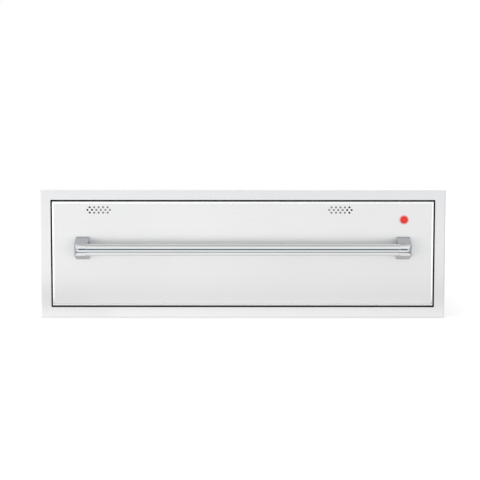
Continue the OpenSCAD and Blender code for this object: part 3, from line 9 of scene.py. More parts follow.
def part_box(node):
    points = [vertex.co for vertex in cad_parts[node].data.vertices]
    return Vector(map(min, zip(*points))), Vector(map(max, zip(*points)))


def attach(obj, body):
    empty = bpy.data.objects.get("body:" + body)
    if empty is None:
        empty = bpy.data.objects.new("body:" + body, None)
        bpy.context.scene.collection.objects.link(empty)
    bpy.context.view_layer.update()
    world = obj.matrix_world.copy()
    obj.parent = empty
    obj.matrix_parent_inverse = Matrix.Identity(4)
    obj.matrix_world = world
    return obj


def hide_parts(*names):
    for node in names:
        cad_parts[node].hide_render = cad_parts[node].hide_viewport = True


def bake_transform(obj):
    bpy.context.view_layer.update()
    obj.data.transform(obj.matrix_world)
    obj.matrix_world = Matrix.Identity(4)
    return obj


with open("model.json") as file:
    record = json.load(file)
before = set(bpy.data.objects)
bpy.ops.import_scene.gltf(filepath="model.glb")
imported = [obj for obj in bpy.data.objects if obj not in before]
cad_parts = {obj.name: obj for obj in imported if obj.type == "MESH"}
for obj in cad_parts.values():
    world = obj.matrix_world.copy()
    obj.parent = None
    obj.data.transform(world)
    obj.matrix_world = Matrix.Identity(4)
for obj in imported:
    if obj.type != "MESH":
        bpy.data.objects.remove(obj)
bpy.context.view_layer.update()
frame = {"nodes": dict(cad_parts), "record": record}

# Sizes are in millimetres unless a comment says otherwise, and MM turns them into Blender's metres
MM = 0.001
NODES = frame["nodes"]
SCENE = bpy.context.scene
ORIGIN = Vector((0, 0, 0))
ALONG_X = Vector((1, 0, 0))
ALONG_Y = Vector((0, 1, 0))
UP = Vector((0, 0, 1))


def box_middle(node):
    low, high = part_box(node)
    return (low + high) / 2


def grey(level):
    return (level, level, level)


# ---------------------------------------------------------------- camera

# The photograph is 480 pixels wide. The camera was fitted to the trim frame's four corners: its focal
# length is in pixels of the photograph, and its angles are in degrees.
PHOTO_PX = 480
FOCAL_PX = 1400
CAMERA_MM = (-14.5, -2872.8, 388.3)
PITCH_DOWN = 5.22
YAW_RIGHT = 0.20
ROLL = 0.043
SENSOR_MM = 36


def make_camera():
    camera = bpy.data.objects.new("camera", bpy.data.cameras.new("camera"))
    SCENE.collection.objects.link(camera)
    camera.data.sensor_width = SENSOR_MM
    camera.data.lens = SENSOR_MM * FOCAL_PX / PHOTO_PX
    turn = Matrix.Rotation(math.radians(-YAW_RIGHT), 4, "Z")
    tilt = Matrix.Rotation(math.radians(90 - PITCH_DOWN), 4, "X")
    roll = Matrix.Rotation(math.radians(ROLL), 4, "Z")
    camera.matrix_world = Matrix.Translation(Vector(CAMERA_MM) * MM) @ turn @ tilt @ roll
    SCENE.camera = camera


make_camera()

# ---------------------------------------------------------------- light and floor

SCENE.view_settings.view_transform = "Standard"

# The studio's brightness by the height of a direction, from straight down (-1) to straight up (1). No
# level is above STUDIO_STRENGTH, because they are divided by it and a colour ramp ends at 1.
STUDIO_STRENGTH = 1.5
STUDIO = [(-1, 0.90), (-0.1, 1.0), (0.05, 1.05), (0.3, 1.1), (0.5, 1.2), (0.7, 1.25), (0.92, 1.2), (1, 0.7)]
# Straight ahead of the object a dark blue band hangs across: the heights that it lies between, the
# brightness below and above it, and how far it reaches to either side
BAND_LOW = -0.01
BAND_HIGH = 0.40
BAND_EDGE = 0.02
UNDER_BAND = 1.0
OVER_BAND = 1.2
BAND_COLOUR = (0.12, 0.2, 0.28)
BAND_HALF_WIDTH = 0.18
BAND_FADE = 0.06
# Shares by which the studio is brighter towards the left and darker behind the object, and the part of
# a direction along Y over which it darkens
LEFT_BRIGHTER = 0.12
BEHIND_DARKER = 0.22
BEHIND_FADE = 0.2

# The floor is a lit white table, FLOOR_SIZE metres across. The camera sees it white but for the
# object's shadow. Metal mirrors its glow, which is brighter far in front and to the left, with a
# darker strip across it where the table's front edge is.
FLOOR_SIZE = 12
FLOOR_COLOUR = 0.86
FLOOR_LIFT = 0.30
FLOOR_IN_METAL = 1.18
FAR_IN_METAL = 1.3
FAR_FROM = -1000
FAR_FADE = 150
STRIP_IN_METAL = 0.25
STRIP_FROM = -500
STRIP_TO = -420
STRIP_FADE = 12


class Tree:
    """A node tree that is built by short calls."""

    def __init__(self, tree):
        self.tree = tree

    def node(self, kind, inputs=None, **settings):
        made = self.tree.nodes.new(kind)
        for name, value in settings.items():
            setattr(made, name, value)
        for name, value in (inputs or {}).items():
            self.feed(made.inputs[name], value)
        return made

    def feed(self, socket, value):
        """Sets a socket to a number or colour, or links another node's output to it."""
        if isinstance(value, bpy.types.NodeSocket):
            self.tree.links.new(value, socket)
        else:
            socket.default_value = value

    def coords(self, kind="Object"):
        """A place on the object in its own metres, or another kind of coordinates."""
        return self.node("ShaderNodeTexCoord").outputs[kind]

    def split(self, vector):
        """The X, Y and Z outputs of a vector."""
        return self.node("ShaderNodeSeparateXYZ", {0: vector}).outputs

    def maths(self, operation, a, b=0.0):
        return self.node("ShaderNodeMath", {0: a, 1: b}, operation=operation).outputs[0]

    def without(self, share, other):
        """A share that is taken away where another one is 1."""
        return self.maths("MULTIPLY", share, self.maths("SUBTRACT", 1.0, other))

    def mixed(self, first, second, share):
        """Two patterns added up, the first by a share and the second by the rest."""
        first = self.maths("MULTIPLY", first, share)
        second = self.maths("MULTIPLY", second, 1 - share)
        return self.maths("ADD", first, second)

    def spread(self, value, low, high, to_low=0.0, to_high=1.0):
        """Maps low..high to to_low..to_high, and holds it there beyond both ends."""
        inputs = {"Value": value, "From Min": low, "From Max": high, "To Min": to_low, "To Max": to_high}
        return self.node("ShaderNodeMapRange", inputs).outputs["Result"]

    def step(self, value, place, fade, *levels):
        """0 before a place and 1 beyond it, or two other levels; a negative fade turns them round."""
        return self.spread(value, (place - fade) * MM, (place + fade) * MM, *levels)

    def blend(self, share, first, second):
        # 6 and 7 are the mix node's colours, and 2 is its colour output
        inputs = {0: share, 6: first, 7: second}
        return self.node("ShaderNodeMix", inputs, data_type="RGBA").outputs[2]

    def ramp(self, value, stops):
        """A colour ramp over 0..1 through stops of (place, colour)."""
        made = self.node("ShaderNodeValToRGB", {"Fac": value})
        points = made.color_ramp.elements
        while len(points) < len(stops):
            points.new(0.5)
        for point, (place, colour) in zip(points, stops):
            point.position = place
            point.color = (*colour, 1)
        return made.outputs["Color"]


def plain_sky():
    """The studio's colours by height."""
    return [(height, grey(level)) for height, level in STUDIO]


def banded_sky():
    """The same with the dark blue band cut into them."""
    below = [stop for stop in plain_sky() if stop[0] < BAND_LOW - BAND_EDGE]
    above = [stop for stop in plain_sky() if stop[0] > BAND_HIGH + 2 * BAND_EDGE]
    band = [(BAND_LOW - BAND_EDGE, grey(UNDER_BAND)), (BAND_LOW, BAND_COLOUR),
            (BAND_HIGH, BAND_COLOUR), (BAND_HIGH + BAND_EDGE, grey(OVER_BAND))]
    return below + band + above


def sky_ramp(tree, height, sky):
    """A ramp over heights of -1..1, which it takes as 0..1."""
    stops = [((place + 1) / 2, [part / STUDIO_STRENGTH for part in colour]) for place, colour in sky]
    return tree.ramp(height, stops)


def left_share(tree, x):
    """How much brighter the studio is from the left (-1) to the right (1)."""
    return tree.spread(x, -1, 1, 1 + LEFT_BRIGHTER, 1 - LEFT_BRIGHTER)


def make_world():
    world = bpy.data.worlds.new("studio")
    SCENE.world = world
    world.use_nodes = True
    world.node_tree.nodes.clear()
    tree = Tree(world.node_tree)
    way = tree.split(tree.coords("Generated"))
    height = tree.spread(way["Z"], -1, 1)
    beside = tree.spread(tree.maths("ABSOLUTE", way["X"]), BAND_HALF_WIDTH + BAND_FADE, BAND_HALF_WIDTH)
    ahead = tree.maths("MULTIPLY", beside, tree.maths("LESS_THAN", way["Y"], 0))
    colour = tree.blend(ahead, sky_ramp(tree, height, plain_sky()), sky_ramp(tree, height, banded_sky()))
    behind = tree.spread(way["Y"], 0, BEHIND_FADE, 1, 1 - BEHIND_DARKER)
    behind = tree.maths("MULTIPLY", behind, STUDIO_STRENGTH)
    strength = tree.maths("MULTIPLY", left_share(tree, way["X"]), behind)
    studio = tree.node("ShaderNodeBackground", {"Color": colour, "Strength": strength}).outputs[0]
    white = tree.node("ShaderNodeBackground", {"Color": (1, 1, 1, 1), "Strength": 1.0}).outputs[0]
    seen = tree.node("ShaderNodeLightPath").outputs["Is Camera Ray"]
    mixed = tree.node("ShaderNodeMixShader", {0: seen, 1: studio, 2: white}).outputs[0]
    tree.node("ShaderNodeOutputWorld", {"Surface": mixed})


def floor_glow(tree):
    """How bright the floor is in metal, by the place on it."""
    place = tree.split(tree.coords())
    after = tree.step(place["Y"], STRIP_FROM, STRIP_FADE)
    before = tree.step(place["Y"], STRIP_TO, -STRIP_FADE)
    strip = tree.maths("MULTIPLY", after, before)
    far = tree.step(place["Y"], FAR_FROM, -FAR_FADE, FLOOR_IN_METAL, FAR_IN_METAL)
    glow = tree.spread(strip, 0, 1, far, STRIP_IN_METAL)
    return tree.maths("MULTIPLY", glow, left_share(tree, place["X"]))


def floor_material():
    material = bpy.data.materials.new("floor")
    material.use_nodes = True
    material.node_tree.nodes.clear()
    tree = Tree(material.node_tree)
    path = tree.node("ShaderNodeLightPath").outputs
    paint = tree.node("ShaderNodeBsdfDiffuse", {"Color": (*grey(FLOOR_COLOUR), 1)}).outputs[0]
    lift = tree.maths("MULTIPLY", path["Is Camera Ray"], FLOOR_LIFT)
    lift = tree.node("ShaderNodeEmission", {"Strength": lift}).outputs[0]
    seen = tree.node("ShaderNodeAddShader", {0: paint, 1: lift}).outputs[0]
    glow = tree.node("ShaderNodeEmission", {"Strength": floor_glow(tree)}).outputs[0]
    both = tree.node("ShaderNodeMixShader", {0: path["Is Glossy Ray"], 1: seen, 2: glow}).outputs[0]
    tree.node("ShaderNodeOutputMaterial", {"Surface": both})
    return material


def make_floor():
    half = FLOOR_SIZE / 2
    corners = [(-half, -half, 0), (half, -half, 0), (half, half, 0), (-half, half, 0)]
    mesh = bpy.data.meshes.new("floor")
    mesh.from_pydata(corners, [], [(0, 1, 2, 3)])
    mesh.materials.append(floor_material())
    floor = bpy.data.objects.new("floor", mesh)
    SCENE.collection.objects.link(floor)


make_world()
make_floor()

# ---------------------------------------------------------------- finishes

# A texture's scale is the number of its features in a metre
METRE = 1000
LEAST_ROUGHNESS = 0.02
# Widths over which a finish turns into another, at a place along Y and along an outline
PLACE_FADE = 0.1
OUTLINE_FADE = 0.3


class Finish(Tree):
    """A procedural material around one Principled shader. Patterns lie in the object's own metres."""

    def __init__(self, name, colour, roughness, metallic=0.0):
        self.material = bpy.data.materials.new(name)
        self.material.use_nodes = True
        super().__init__(self.material.node_tree)
        self.shader = self.tree.nodes["Principled BSDF"]
        self.colour = (*colour, 1)
        self.rough = roughness
        self.set("Base Color", self.colour)
        self.set("Roughness", roughness)
        self.set("Metallic", metallic)
        self.relief = None

    def set(self, name, value):
        self.feed(self.shader.inputs[name], value)
        return self

    def place(self, stretch=(1, 1, 1)):
        return self.node("ShaderNodeMapping", {"Vector": self.coords(), "Scale": stretch}).outputs[0]

    def noise(self, size, stretch=(1, 1, 1), detail=3.0, rough=0.5):
        """Noise whose features are about a size across, divided by stretch along each axis."""
        inputs = {"Vector": self.place(stretch), "Scale": METRE / size, "Detail": detail, "Roughness": rough}
        return self.node("ShaderNodeTexNoise", inputs).outputs["Fac"]

    def cells(self, size):
        """A random number for each cell of a Voronoi pattern."""
        inputs = {"Vector": self.place(), "Scale": METRE / size}
        colour = self.node("ShaderNodeTexVoronoi", inputs).outputs["Color"]
        return self.node("ShaderNodeSeparateColor", {0: colour}).outputs[0]

    def shade(self, pattern, amount, low=0.3, high=0.7):
        """Varies the base colour by a share either way."""
        darker = [part * (1 - amount) for part in self.colour[:3]]
        lighter = [min(part * (1 + amount), 1) for part in self.colour[:3]]
        return self.tint(pattern, darker, lighter, low, high)

    def tint(self, pattern, first, second, low=0.3, high=0.7):
        share = self.spread(pattern, low, high)
        return self.set("Base Color", self.blend(share, (*first, 1), (*second, 1)))

    def polish(self, pattern, amount, low=0.3, high=0.7):
        """Varies the roughness by an amount either way."""
        least = max(self.rough - amount, LEAST_ROUGHNESS)
        return self.set("Roughness", self.spread(pattern, low, high, least, self.rough + amount))

    def bump(self, pattern, depth, strength):
        """Adds relief of a depth on top of what is there."""
        inputs = {"Height": pattern, "Distance": depth * MM, "Strength": strength}
        if self.relief:
            inputs["Normal"] = self.relief
        self.relief = self.node("ShaderNodeBump", inputs).outputs[0]
        return self.set("Normal", self.relief)

    def turn_into(self, share, colour, roughness):
        """Gives a patterned metal another plain colour and roughness where share is 1."""
        before = self.shader.inputs["Base Color"].links[0].from_socket
        self.set("Base Color", self.blend(share, before, (*colour, 1)))
        before = self.shader.inputs["Roughness"].links[0].from_socket
        kept = self.without(before, share)
        return self.set("Roughness", self.maths("ADD", kept, self.maths("MULTIPLY", share, roughness)))

    def behind(self, place):
        """1 behind a place along Y, and 0 in front of it."""
        return self.step(self.split(self.coords())["Y"], place, PLACE_FADE)

    def near_outline(self, node, inset):
        """1 along the outline of a node's box seen from the front, and 0 further in than an inset."""
        low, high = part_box(node)
        middle = box_middle(node)
        place = self.split(self.coords())
        beyond = []
        for axis, i in (("X", 0), ("Z", 2)):
            away = self.maths("ABSOLUTE", self.maths("SUBTRACT", place[axis], middle[i]))
            edge = (high[i] - low[i]) / 2 - inset * MM
            beyond.append(self.spread(away, edge, edge + OUTLINE_FADE * MM))
        return self.maths("MAXIMUM", *beyond)


def drawn_out(along, across, lengthwise):
    """A stretch with one factor along the axis x, y or z and another across it."""
    return [lengthwise if axis == along else across for axis in "xyz"]


def brushed(name, colour, roughness, anisotropy, along):
    """Steel brushed along one axis: fine long streaks in colour, gloss and relief."""
    made = Finish(name, colour, roughness, metallic=1.0)
    streaks = made.noise(size=20, stretch=drawn_out(along, across=60.0, lengthwise=0.6), detail=4)
    bands = made.noise(size=60, stretch=drawn_out(along, across=12.0, lengthwise=0.15), detail=2)
    waves = made.noise(size=260, detail=2)
    made.shade(made.mixed(streaks, bands, share=0.7), amount=0.02)
    made.polish(made.mixed(streaks, waves, share=0.6), amount=0.05)
    made.bump(streaks, depth=0.004, strength=0.35)
    made.bump(waves, depth=0.06, strength=0.5)
    made.set("Anisotropic", anisotropy)
    tangent = made.node("ShaderNodeTangent", direction_type="RADIAL", axis="Z")
    return made.set("Tangent", tangent.outputs[0])


def sheet_metal(name, colour, roughness, mottle=0.05, size=30):
    """Plain rolled or plated steel, with faint cloudiness and small scuffs."""
    made = Finish(name, colour, roughness, metallic=1.0)
    cloud = made.noise(size, detail=4)
    scuffs = made.noise(size=9, stretch=(1, 6, 6), detail=5, rough=0.7)
    made.shade(cloud, mottle)
    made.polish(made.mixed(cloud, scuffs, share=0.5), amount=0.08)
    return made.bump(scuffs, depth=0.01, strength=0.3)


def galvanised():
    """Zinc-coated sheet with its spangle: flat crystals, each with a shade and a gloss of its own."""
    made = Finish("galvanised", (0.58, 0.59, 0.6), 0.42, metallic=0.9)
    crystals = made.cells(size=14)
    fine = made.noise(size=3, detail=5, rough=0.7)
    made.shade(made.mixed(crystals, fine, share=0.7), amount=0.14, low=0.1, high=0.9)
    made.polish(crystals, amount=0.1, low=0, high=1)
    return made.bump(fine, depth=0.02, strength=0.35)


def moulded(name, colour, roughness, grain=0.5, depth=0.02):
    """Moulded plastic with an eroded grain."""
    made = Finish(name, colour, roughness)
    cloud = made.noise(size=12, detail=3)
    made.shade(cloud, amount=0.06)
    made.polish(cloud, amount=0.07)
    return made.bump(made.noise(grain, detail=3), depth, strength=0.5)


RUBBER_BLOOM = 0.035


def rubber(name, colour):
    """Matt rubber with fine bloom and scuffed patches."""
    made = Finish(name, colour, 0.72)
    bloom = made.noise(size=6, detail=5, rough=0.65)
    made.tint(bloom, colour, [part + RUBBER_BLOOM for part in colour], low=0.45, high=0.8)
    made.polish(bloom, amount=0.1)
    made.set("Specular IOR Level", 0.35)
    return made.bump(made.noise(size=0.7, detail=3), depth=0.03, strength=0.5)


def mineral_wool():
    """Pressed fibres in short bundles, in yellow and brown."""
    made = Finish("mineral_wool", (0.8, 0.72, 0.5), 0.95)
    fibres = made.noise(size=2.5, stretch=(0.25, 1, 3), detail=6, rough=0.75)
    tufts = made.noise(size=16, detail=4)
    both = made.mixed(fibres, tufts, share=0.6)
    made.tint(both, (0.55, 0.42, 0.22), (0.92, 0.84, 0.6), low=0.35, high=0.65)
    made.set("Sheen Weight", 0.3)
    return made.bump(both, depth=1.2, strength=0.7)


def heated_sheath():
    """An oxidised heating tube, brown and blue in turns along its length."""
    made = Finish("heated_sheath", (0.2, 0.18, 0.17), 0.5, metallic=0.7)
    zones = made.noise(size=70, detail=3)
    made.tint(zones, (0.22, 0.15, 0.1), (0.15, 0.17, 0.22))
    soot = made.noise(size=2, detail=5, rough=0.7)
    made.polish(soot, amount=0.12)
    return made.bump(soot, depth=0.03, strength=0.5)


def glazed():
    """Ivory ceramic with sparse brown specks under its glaze."""
    made = Finish("glazed_ceramic", (0.9, 0.88, 0.83), 0.18)
    specks = made.noise(size=1.2, detail=2)
    made.tint(specks, (0.7, 0.62, 0.5), (0.91, 0.89, 0.84), low=0.22, high=0.36)
    made.set("Coat Weight", 0.4)
    return made.bump(made.noise(size=7, detail=2), depth=0.05, strength=0.3)


def chrome(name="chrome"):
    """Polished plating: nearly a mirror, with faint wipe marks and a slow waviness."""
    made = Finish(name, (0.64, 0.645, 0.65), 0.06, metallic=1.0)
    wipes = made.noise(size=25, stretch=(0.3, 1, 1.4), detail=4, rough=0.6)
    made.shade(wipes, amount=0.02)
    made.polish(wipes, amount=0.025)
    return made.bump(made.noise(size=16, detail=1), depth=0.015, strength=0.4)


# The satin sides of a bracket, painted a darker, bluish grey as painted shade and painted reflection. Satin
# fades in between two values of a surface's normal: its part along
# X, positive outward and negative inward, and its part straight up or down.
SATIN_PAINTED_SHADE_GREY = (0.38, 0.4, 0.425)
SATIN_ROUGHNESS = 0.22
SATIN_OUTWARD = (0.2, 0.35)
SATIN_INWARD = (-0.7, -0.9)
SATIN_UPRIGHT = (0.86, 0.9)


def cast_chrome():
    """The same plating on a casting whose front is polished and whose sides are satin, painted darker and
    bluish as painted shade and painted reflection.
    """
    made = chrome("cast_chrome")
    normal = made.split(made.coords("Normal"))
    outward = made.maths("MULTIPLY", normal["X"], made.maths("SIGN", made.split(made.coords())["X"]))
    sides = made.maths("MAXIMUM", made.spread(outward, *SATIN_OUTWARD), made.spread(outward, *SATIN_INWARD))
    upright = made.spread(made.maths("ABSOLUTE", normal["Z"]), *SATIN_UPRIGHT)
    return made.turn_into(made.maths("MAXIMUM", sides, upright), SATIN_PAINTED_SHADE_GREY, SATIN_ROUGHNESS)


# The lamp's lens: distances from its axis at which its form or its colour changes. Its colours grow paler
# towards the rim partly as painted highlight.
LENS_BUTTON_R = 2.75
LENS_GROOVE_R = 3.4
LENS_STEP_R = 5.25
LENS_SLOPE = 0.6
LENS_RIM_R = 7.2
LENS_EDGE_R = 8.5
LENS_COLOURS_AND_HIGHLIGHT = [(0, (0.95, 0.07, 0.04)), (LENS_BUTTON_R, (0.9, 0.05, 0.03)),
                (LENS_GROOVE_R, (0.64, 0.015, 0.008)), (LENS_STEP_R, (0.68, 0.02, 0.01)),
                (LENS_STEP_R + LENS_SLOPE, (0.85, 0.12, 0.1)), (LENS_RIM_R, (0.88, 0.28, 0.28)),
                (LENS_EDGE_R, (0.85, 0.42, 0.43))]
LENS_RING_PITCH = 0.55
LAMP = box_middle("pilot_lamp_lens")


def red_lens():
    """Red plastic that is paler towards its thin rim, partly as painted highlight, with fine rings inside and
    a faint glow.
    """
    made = Finish("red_lens", (0.74, 0.035, 0.02), 0.3)
    away = made.node("ShaderNodeVectorMath", {0: made.coords(), 1: LAMP}, operation="SUBTRACT").outputs[0]
    away = made.node("ShaderNodeVectorMath", {0: away, 1: (1, 0, 1)}, operation="MULTIPLY").outputs[0]
    radius = made.node("ShaderNodeVectorMath", {0: away}, operation="LENGTH").outputs["Value"]
    stops = [(distance / LENS_EDGE_R, colour) for distance, colour in LENS_COLOURS_AND_HIGHLIGHT]
    made.set("Base Color", made.ramp(made.spread(radius, 0, LENS_EDGE_R * MM), stops))
    made.set("Transmission Weight", 0.1)
    made.set("Specular IOR Level", 0.2)
    made.set("Emission Color", (1, 0.1, 0.05, 1))
    made.set("Emission Strength", 0.12)
    rings = made.maths("SINE", made.maths("MULTIPLY", radius, 2 * math.pi / (LENS_RING_PITCH * MM)))
    return made.bump(rings, depth=0.05, strength=0.35)


LINER_GREY = grey(0.66)
LINER_ROUGHNESS = 0.34

# What each material slot of the record looks like
FINISHES = {
    "brushed_frame": brushed("brushed_frame", (0.86, 0.858, 0.854), 0.36, 0.5, "x"),
    "brushed_front": brushed("brushed_front", (0.875, 0.87, 0.866), 0.42, 0.75, "x"),
    "galvanised": galvanised(),
    "liner_steel": sheet_metal("liner_steel", LINER_GREY, LINER_ROUGHNESS),
    "tub_steel": brushed("tub_steel", grey(0.7), 0.36, 0.3, "y"),
    "insulation": mineral_wool(),
    "element_sheath": heated_sheath(),
    "ceramic": glazed(),
    "black_plastic": moulded("black_plastic", (0.035, 0.035, 0.037), 0.45),
    "pale_plastic": moulded("pale_plastic", (0.78, 0.75, 0.66), 0.4),
    "brass": sheet_metal("brass", (0.78, 0.6, 0.3), 0.28, mottle=0.1, size=6),
    "wire_red": moulded("wire_red", (0.5, 0.05, 0.035), 0.35, grain=1.5, depth=0.01),
    "wire_grey": moulded("wire_grey", (0.52, 0.52, 0.5), 0.35, grain=1.5, depth=0.01),
    "lead_rubber": rubber("lead_rubber", (0.025, 0.025, 0.026)),
    "rubber": rubber("rubber", grey(0.03)),
    "gasket_rubber": rubber("gasket_rubber", grey(0.1)),
    "zinc": sheet_metal("zinc", (0.62, 0.63, 0.64), 0.33, mottle=0.08, size=12),
    "slide_steel": sheet_metal("slide_steel", (0.64, 0.66, 0.69), 0.26, mottle=0.06, size=40),
    "chrome": chrome(),
    "screw_steel": sheet_metal("screw_steel", (0.5, 0.5, 0.52), 0.3, mottle=0.1, size=4),
    "red_lens": red_lens(),
    "shutter_steel": sheet_metal("shutter_steel", grey(0.28), 0.45, size=15),
    "knob_plastic": moulded("knob_plastic", (0.025, 0.025, 0.027), 0.3, grain=0.8, depth=0.012),
}
CAST_CHROME = cast_chrome()
INK = moulded("ink", (0.04, 0.04, 0.045), 0.5, grain=0.3, depth=0.01)
INLAY = moulded("inlay", (0.85, 0.85, 0.83), 0.5, grain=0.3, depth=0.01)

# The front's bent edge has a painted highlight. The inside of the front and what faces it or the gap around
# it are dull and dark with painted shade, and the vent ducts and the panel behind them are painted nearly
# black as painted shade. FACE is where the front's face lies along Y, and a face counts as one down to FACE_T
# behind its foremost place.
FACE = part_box("front_skin")[0].y / MM
FACE_T = 0.2
BEND_W = 3.6
BEND_DEPTH = 2
JAMB_SHEET = 1.5
DULL = 0.6
VERY_DULL = 0.8
PAINTED_SHADE_BLACK = 0.008


def finish_front(made):
    """A painted highlight on the bend around the brushed face, and painted shade that darkens the inside."""
    edge = made.near_outline("front_skin", BEND_W)
    painted_shade_inside = made.without(made.behind(FACE + FACE_T), edge)
    made.turn_into(painted_shade_inside, grey(0.02), DULL)
    painted_highlight_bend = made.without(edge, made.behind(FACE + BEND_DEPTH))
    made.turn_into(painted_highlight_bend, grey(0.98), roughness=0.15)
    made.set("Metallic", 0.85)


# The frame's face is painted greyer along its bent edges at the bottom and at the right, as painted shade
LIP_W = 3.0
LIP_FADE = 0.4


def finish_frame(made):
    low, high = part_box("trim_frame")
    place = made.split(made.coords())
    right = made.spread(place["X"], high.x - LIP_W * MM, high.x - (LIP_W - LIP_FADE) * MM)
    bottom = made.spread(place["Z"], low.z + LIP_W * MM, low.z + (LIP_W - LIP_FADE) * MM)
    made.turn_into(made.maths("MAXIMUM", right, bottom), grey(0.75), roughness=0.4)


def jamb_finish():
    """Brushed steel outside, with painted shade that darkens it towards the gap around the front."""
    made = brushed("brushed_jamb_painted_shade", (0.80, 0.80, 0.795), 0.4, 0.3, "x")
    outside = made.near_outline("frame_jamb", JAMB_SHEET - OUTLINE_FADE)
    return made.turn_into(made.without(made.behind(FACE), outside), grey(0.03), DULL)


def dark_faced(name, node, level, roughness):
    """The liner's steel, with painted shade that darkens its face towards the front."""
    made = sheet_metal(name, LINER_GREY, LINER_ROUGHNESS)
    face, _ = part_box(node)
    ahead = made.maths("SUBTRACT", 1.0, made.behind(face.y / MM + FACE_T))
    return made.turn_into(ahead, grey(level), roughness)


def dress(piece, finish):
    """Gives every face of a piece one finish."""
    if not piece.material_slots:
        piece.data.materials.append(None)
    for place in piece.material_slots:
        place.material = finish.material


finish_front(FINISHES["brushed_front"])
finish_frame(FINISHES["brushed_frame"])
for part in frame["record"]["subparts"]:
    dress(NODES[part["node"]], FINISHES[part["material_slot"]])
# The jamb, the landing, the vent ducts and the panel behind them are darkened with painted shade
dress(NODES["frame_jamb"], jamb_finish())
dress(NODES["landing_frame"], dark_faced("landing", "landing_frame", 0.015, DULL))
dress(NODES["vent_ducts"], sheet_metal("duct_painted_shade", grey(PAINTED_SHADE_BLACK), VERY_DULL))
dress(NODES["front_inner_panel"], dark_faced("duct_panel_painted_shade", "front_inner_panel", PAINTED_SHADE_BLACK, VERY_DULL))

# ---------------------------------------------------------------- shapes

SHARP_ANGLE = math.radians(38)
# Distance in metres under which two points are one
TINY = 1e-7


def smooth(mesh):
    """Shades a mesh smooth between its sharp edges."""
    mesh.polygons.foreach_set("use_smooth", [True] * len(mesh.polygons))
    mesh.set_sharp_from_angle(angle=SHARP_ANGLE)


def finished_mesh(name, shape):
    """An object of a bmesh, welded, with outward normals and smooth between its sharp edges."""
    bmesh.ops.remove_doubles(shape, verts=shape.verts, dist=TINY)
    bmesh.ops.dissolve_degenerate(shape, edges=shape.edges, dist=TINY)
    bmesh.ops.recalc_face_normals(shape, faces=shape.faces)
    mesh = bpy.data.meshes.new(name)
    shape.to_mesh(mesh)
    shape.free()
    smooth(mesh)
    made = bpy.data.objects.new(name, mesh)
    SCENE.collection.objects.link(made)
    return made


def applied_mesh(piece):
    """A new mesh of an object as it stands, with its modifiers applied."""
    bpy.context.view_layer.update()
    graph = bpy.context.evaluated_depsgraph_get()
    return bpy.data.meshes.new_from_object(piece.evaluated_get(graph))


def add_rings(shape, rings, closed=False):
    """Adds the skin over rings of points; closed joins the last to the first, or else both are capped."""
    rows = [[shape.verts.new(point) for point in ring] for ring in rings]
    count = len(rows[0])
    following = rows[1:] + rows[:1] if closed else rows[1:]
    for row, after in zip(rows, following):
        for k in range(count):
            nxt = (k + 1) % count
            shape.faces.new((row[k], row[nxt], after[nxt], after[k]))
    if not closed:
        shape.faces.new(rows[0])
        shape.faces.new(rows[-1])


def circle(middle, side, up, radius, steps):
    """Points around a middle, in the plane of two directions."""
    points = []
    for k in range(steps):
        angle = 2 * math.pi * k / steps
        points.append(middle + (side * math.cos(angle) + up * math.sin(angle)) * radius * MM)
    return points


def add_lathe(shape, profile, start, axis, steps, closed=False):
    """Turns a profile of (radius, distance along the axis) about an axis."""
    side = axis.orthogonal().normalized()
    up = axis.cross(side)
    rings = [circle(start + axis * along * MM, side, up, radius, steps) for radius, along in profile]
    add_rings(shape, rings, closed)


def rounded(points, radius, steps=5):
    """A profile whose inner corners are rounded, each by at most half of its shorter side."""
    made = [points[0]]
    for before, corner, after in zip(points, points[1:], points[2:]):
        a, b, c = (Vector(point) for point in (before, corner, after))
        cut = min(radius, (a - b).length / 2, (c - b).length / 2)
        first = b + (a - b).normalized() * cut
        last = b + (c - b).normalized() * cut
        for k in range(steps + 1):
            t = k / steps
            made.append(tuple(first * (1 - t) ** 2 + b * 2 * t * (1 - t) + last * t ** 2))
    made.append(points[-1])
    return made


def islands(node):
    """The (lowest, highest) corners of each separate solid of a CAD node."""
    shape = bmesh.new()
    shape.from_mesh(NODES[node].data)
    bmesh.ops.remove_doubles(shape, verts=shape.verts, dist=TINY)
    left = set(shape.verts)
    boxes = []
    while left:
        reached = {left.pop()}
        front = list(reached)
        while front:
            for edge in front.pop().link_edges:
                for vertex in edge.verts:
                    if vertex in left:
                        left.discard(vertex)
                        reached.add(vertex)
                        front.append(vertex)
        low = Vector(min(v.co[i] for v in reached) for i in range(3))
        high = Vector(max(v.co[i] for v in reached) for i in range(3))
        boxes.append((low, high))
    shape.free()
    return sorted(boxes, key=lambda box: tuple(box[0]))


def stand_in(piece, slot, body, *nodes):
    """Finishes a piece that replaces CAD nodes and rides on a body."""
    dress(piece, FINISHES[slot])
    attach(piece, body)
    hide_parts(*nodes)


def cut_away(piece, cutter):
    """Takes a cutter's shape out of a piece for good, and deletes the cutter."""
    modifier = piece.modifiers.new("cut", "BOOLEAN")
    modifier.operation = "DIFFERENCE"
    modifier.solver = "EXACT"
    modifier.object = cutter
    mesh = applied_mesh(piece)
    piece.modifiers.clear()
    old = piece.data
    piece.data = mesh
    bpy.data.meshes.remove(old)
    bpy.data.objects.remove(cutter)
    smooth(mesh)


# ---------------------------------------------------------------- handle

BAR_STEPS = 192
BAR_CHAMFER = 0.6
# A bracket: the radius of its nose seen from the side, of its corners seen from above and of its edges,
# how much its sides draw in towards the nose, and the steps of its curves
NOSE_R = 12.3
NOSE_STEPS = 18
SLOPE_STEPS = 5
OUTER_CORNER_R = 8
INNER_CORNER_R = 1.3
SIDE_DRAFT = 1.5
EDGE_R = 1.3
NOSE_EDGE_R = 4.5
FOOT_EDGE_R = 0.7
# The bar's socket in a bracket
SOCKET_GAP = 0.2
SOCKET_DEPTH = 8


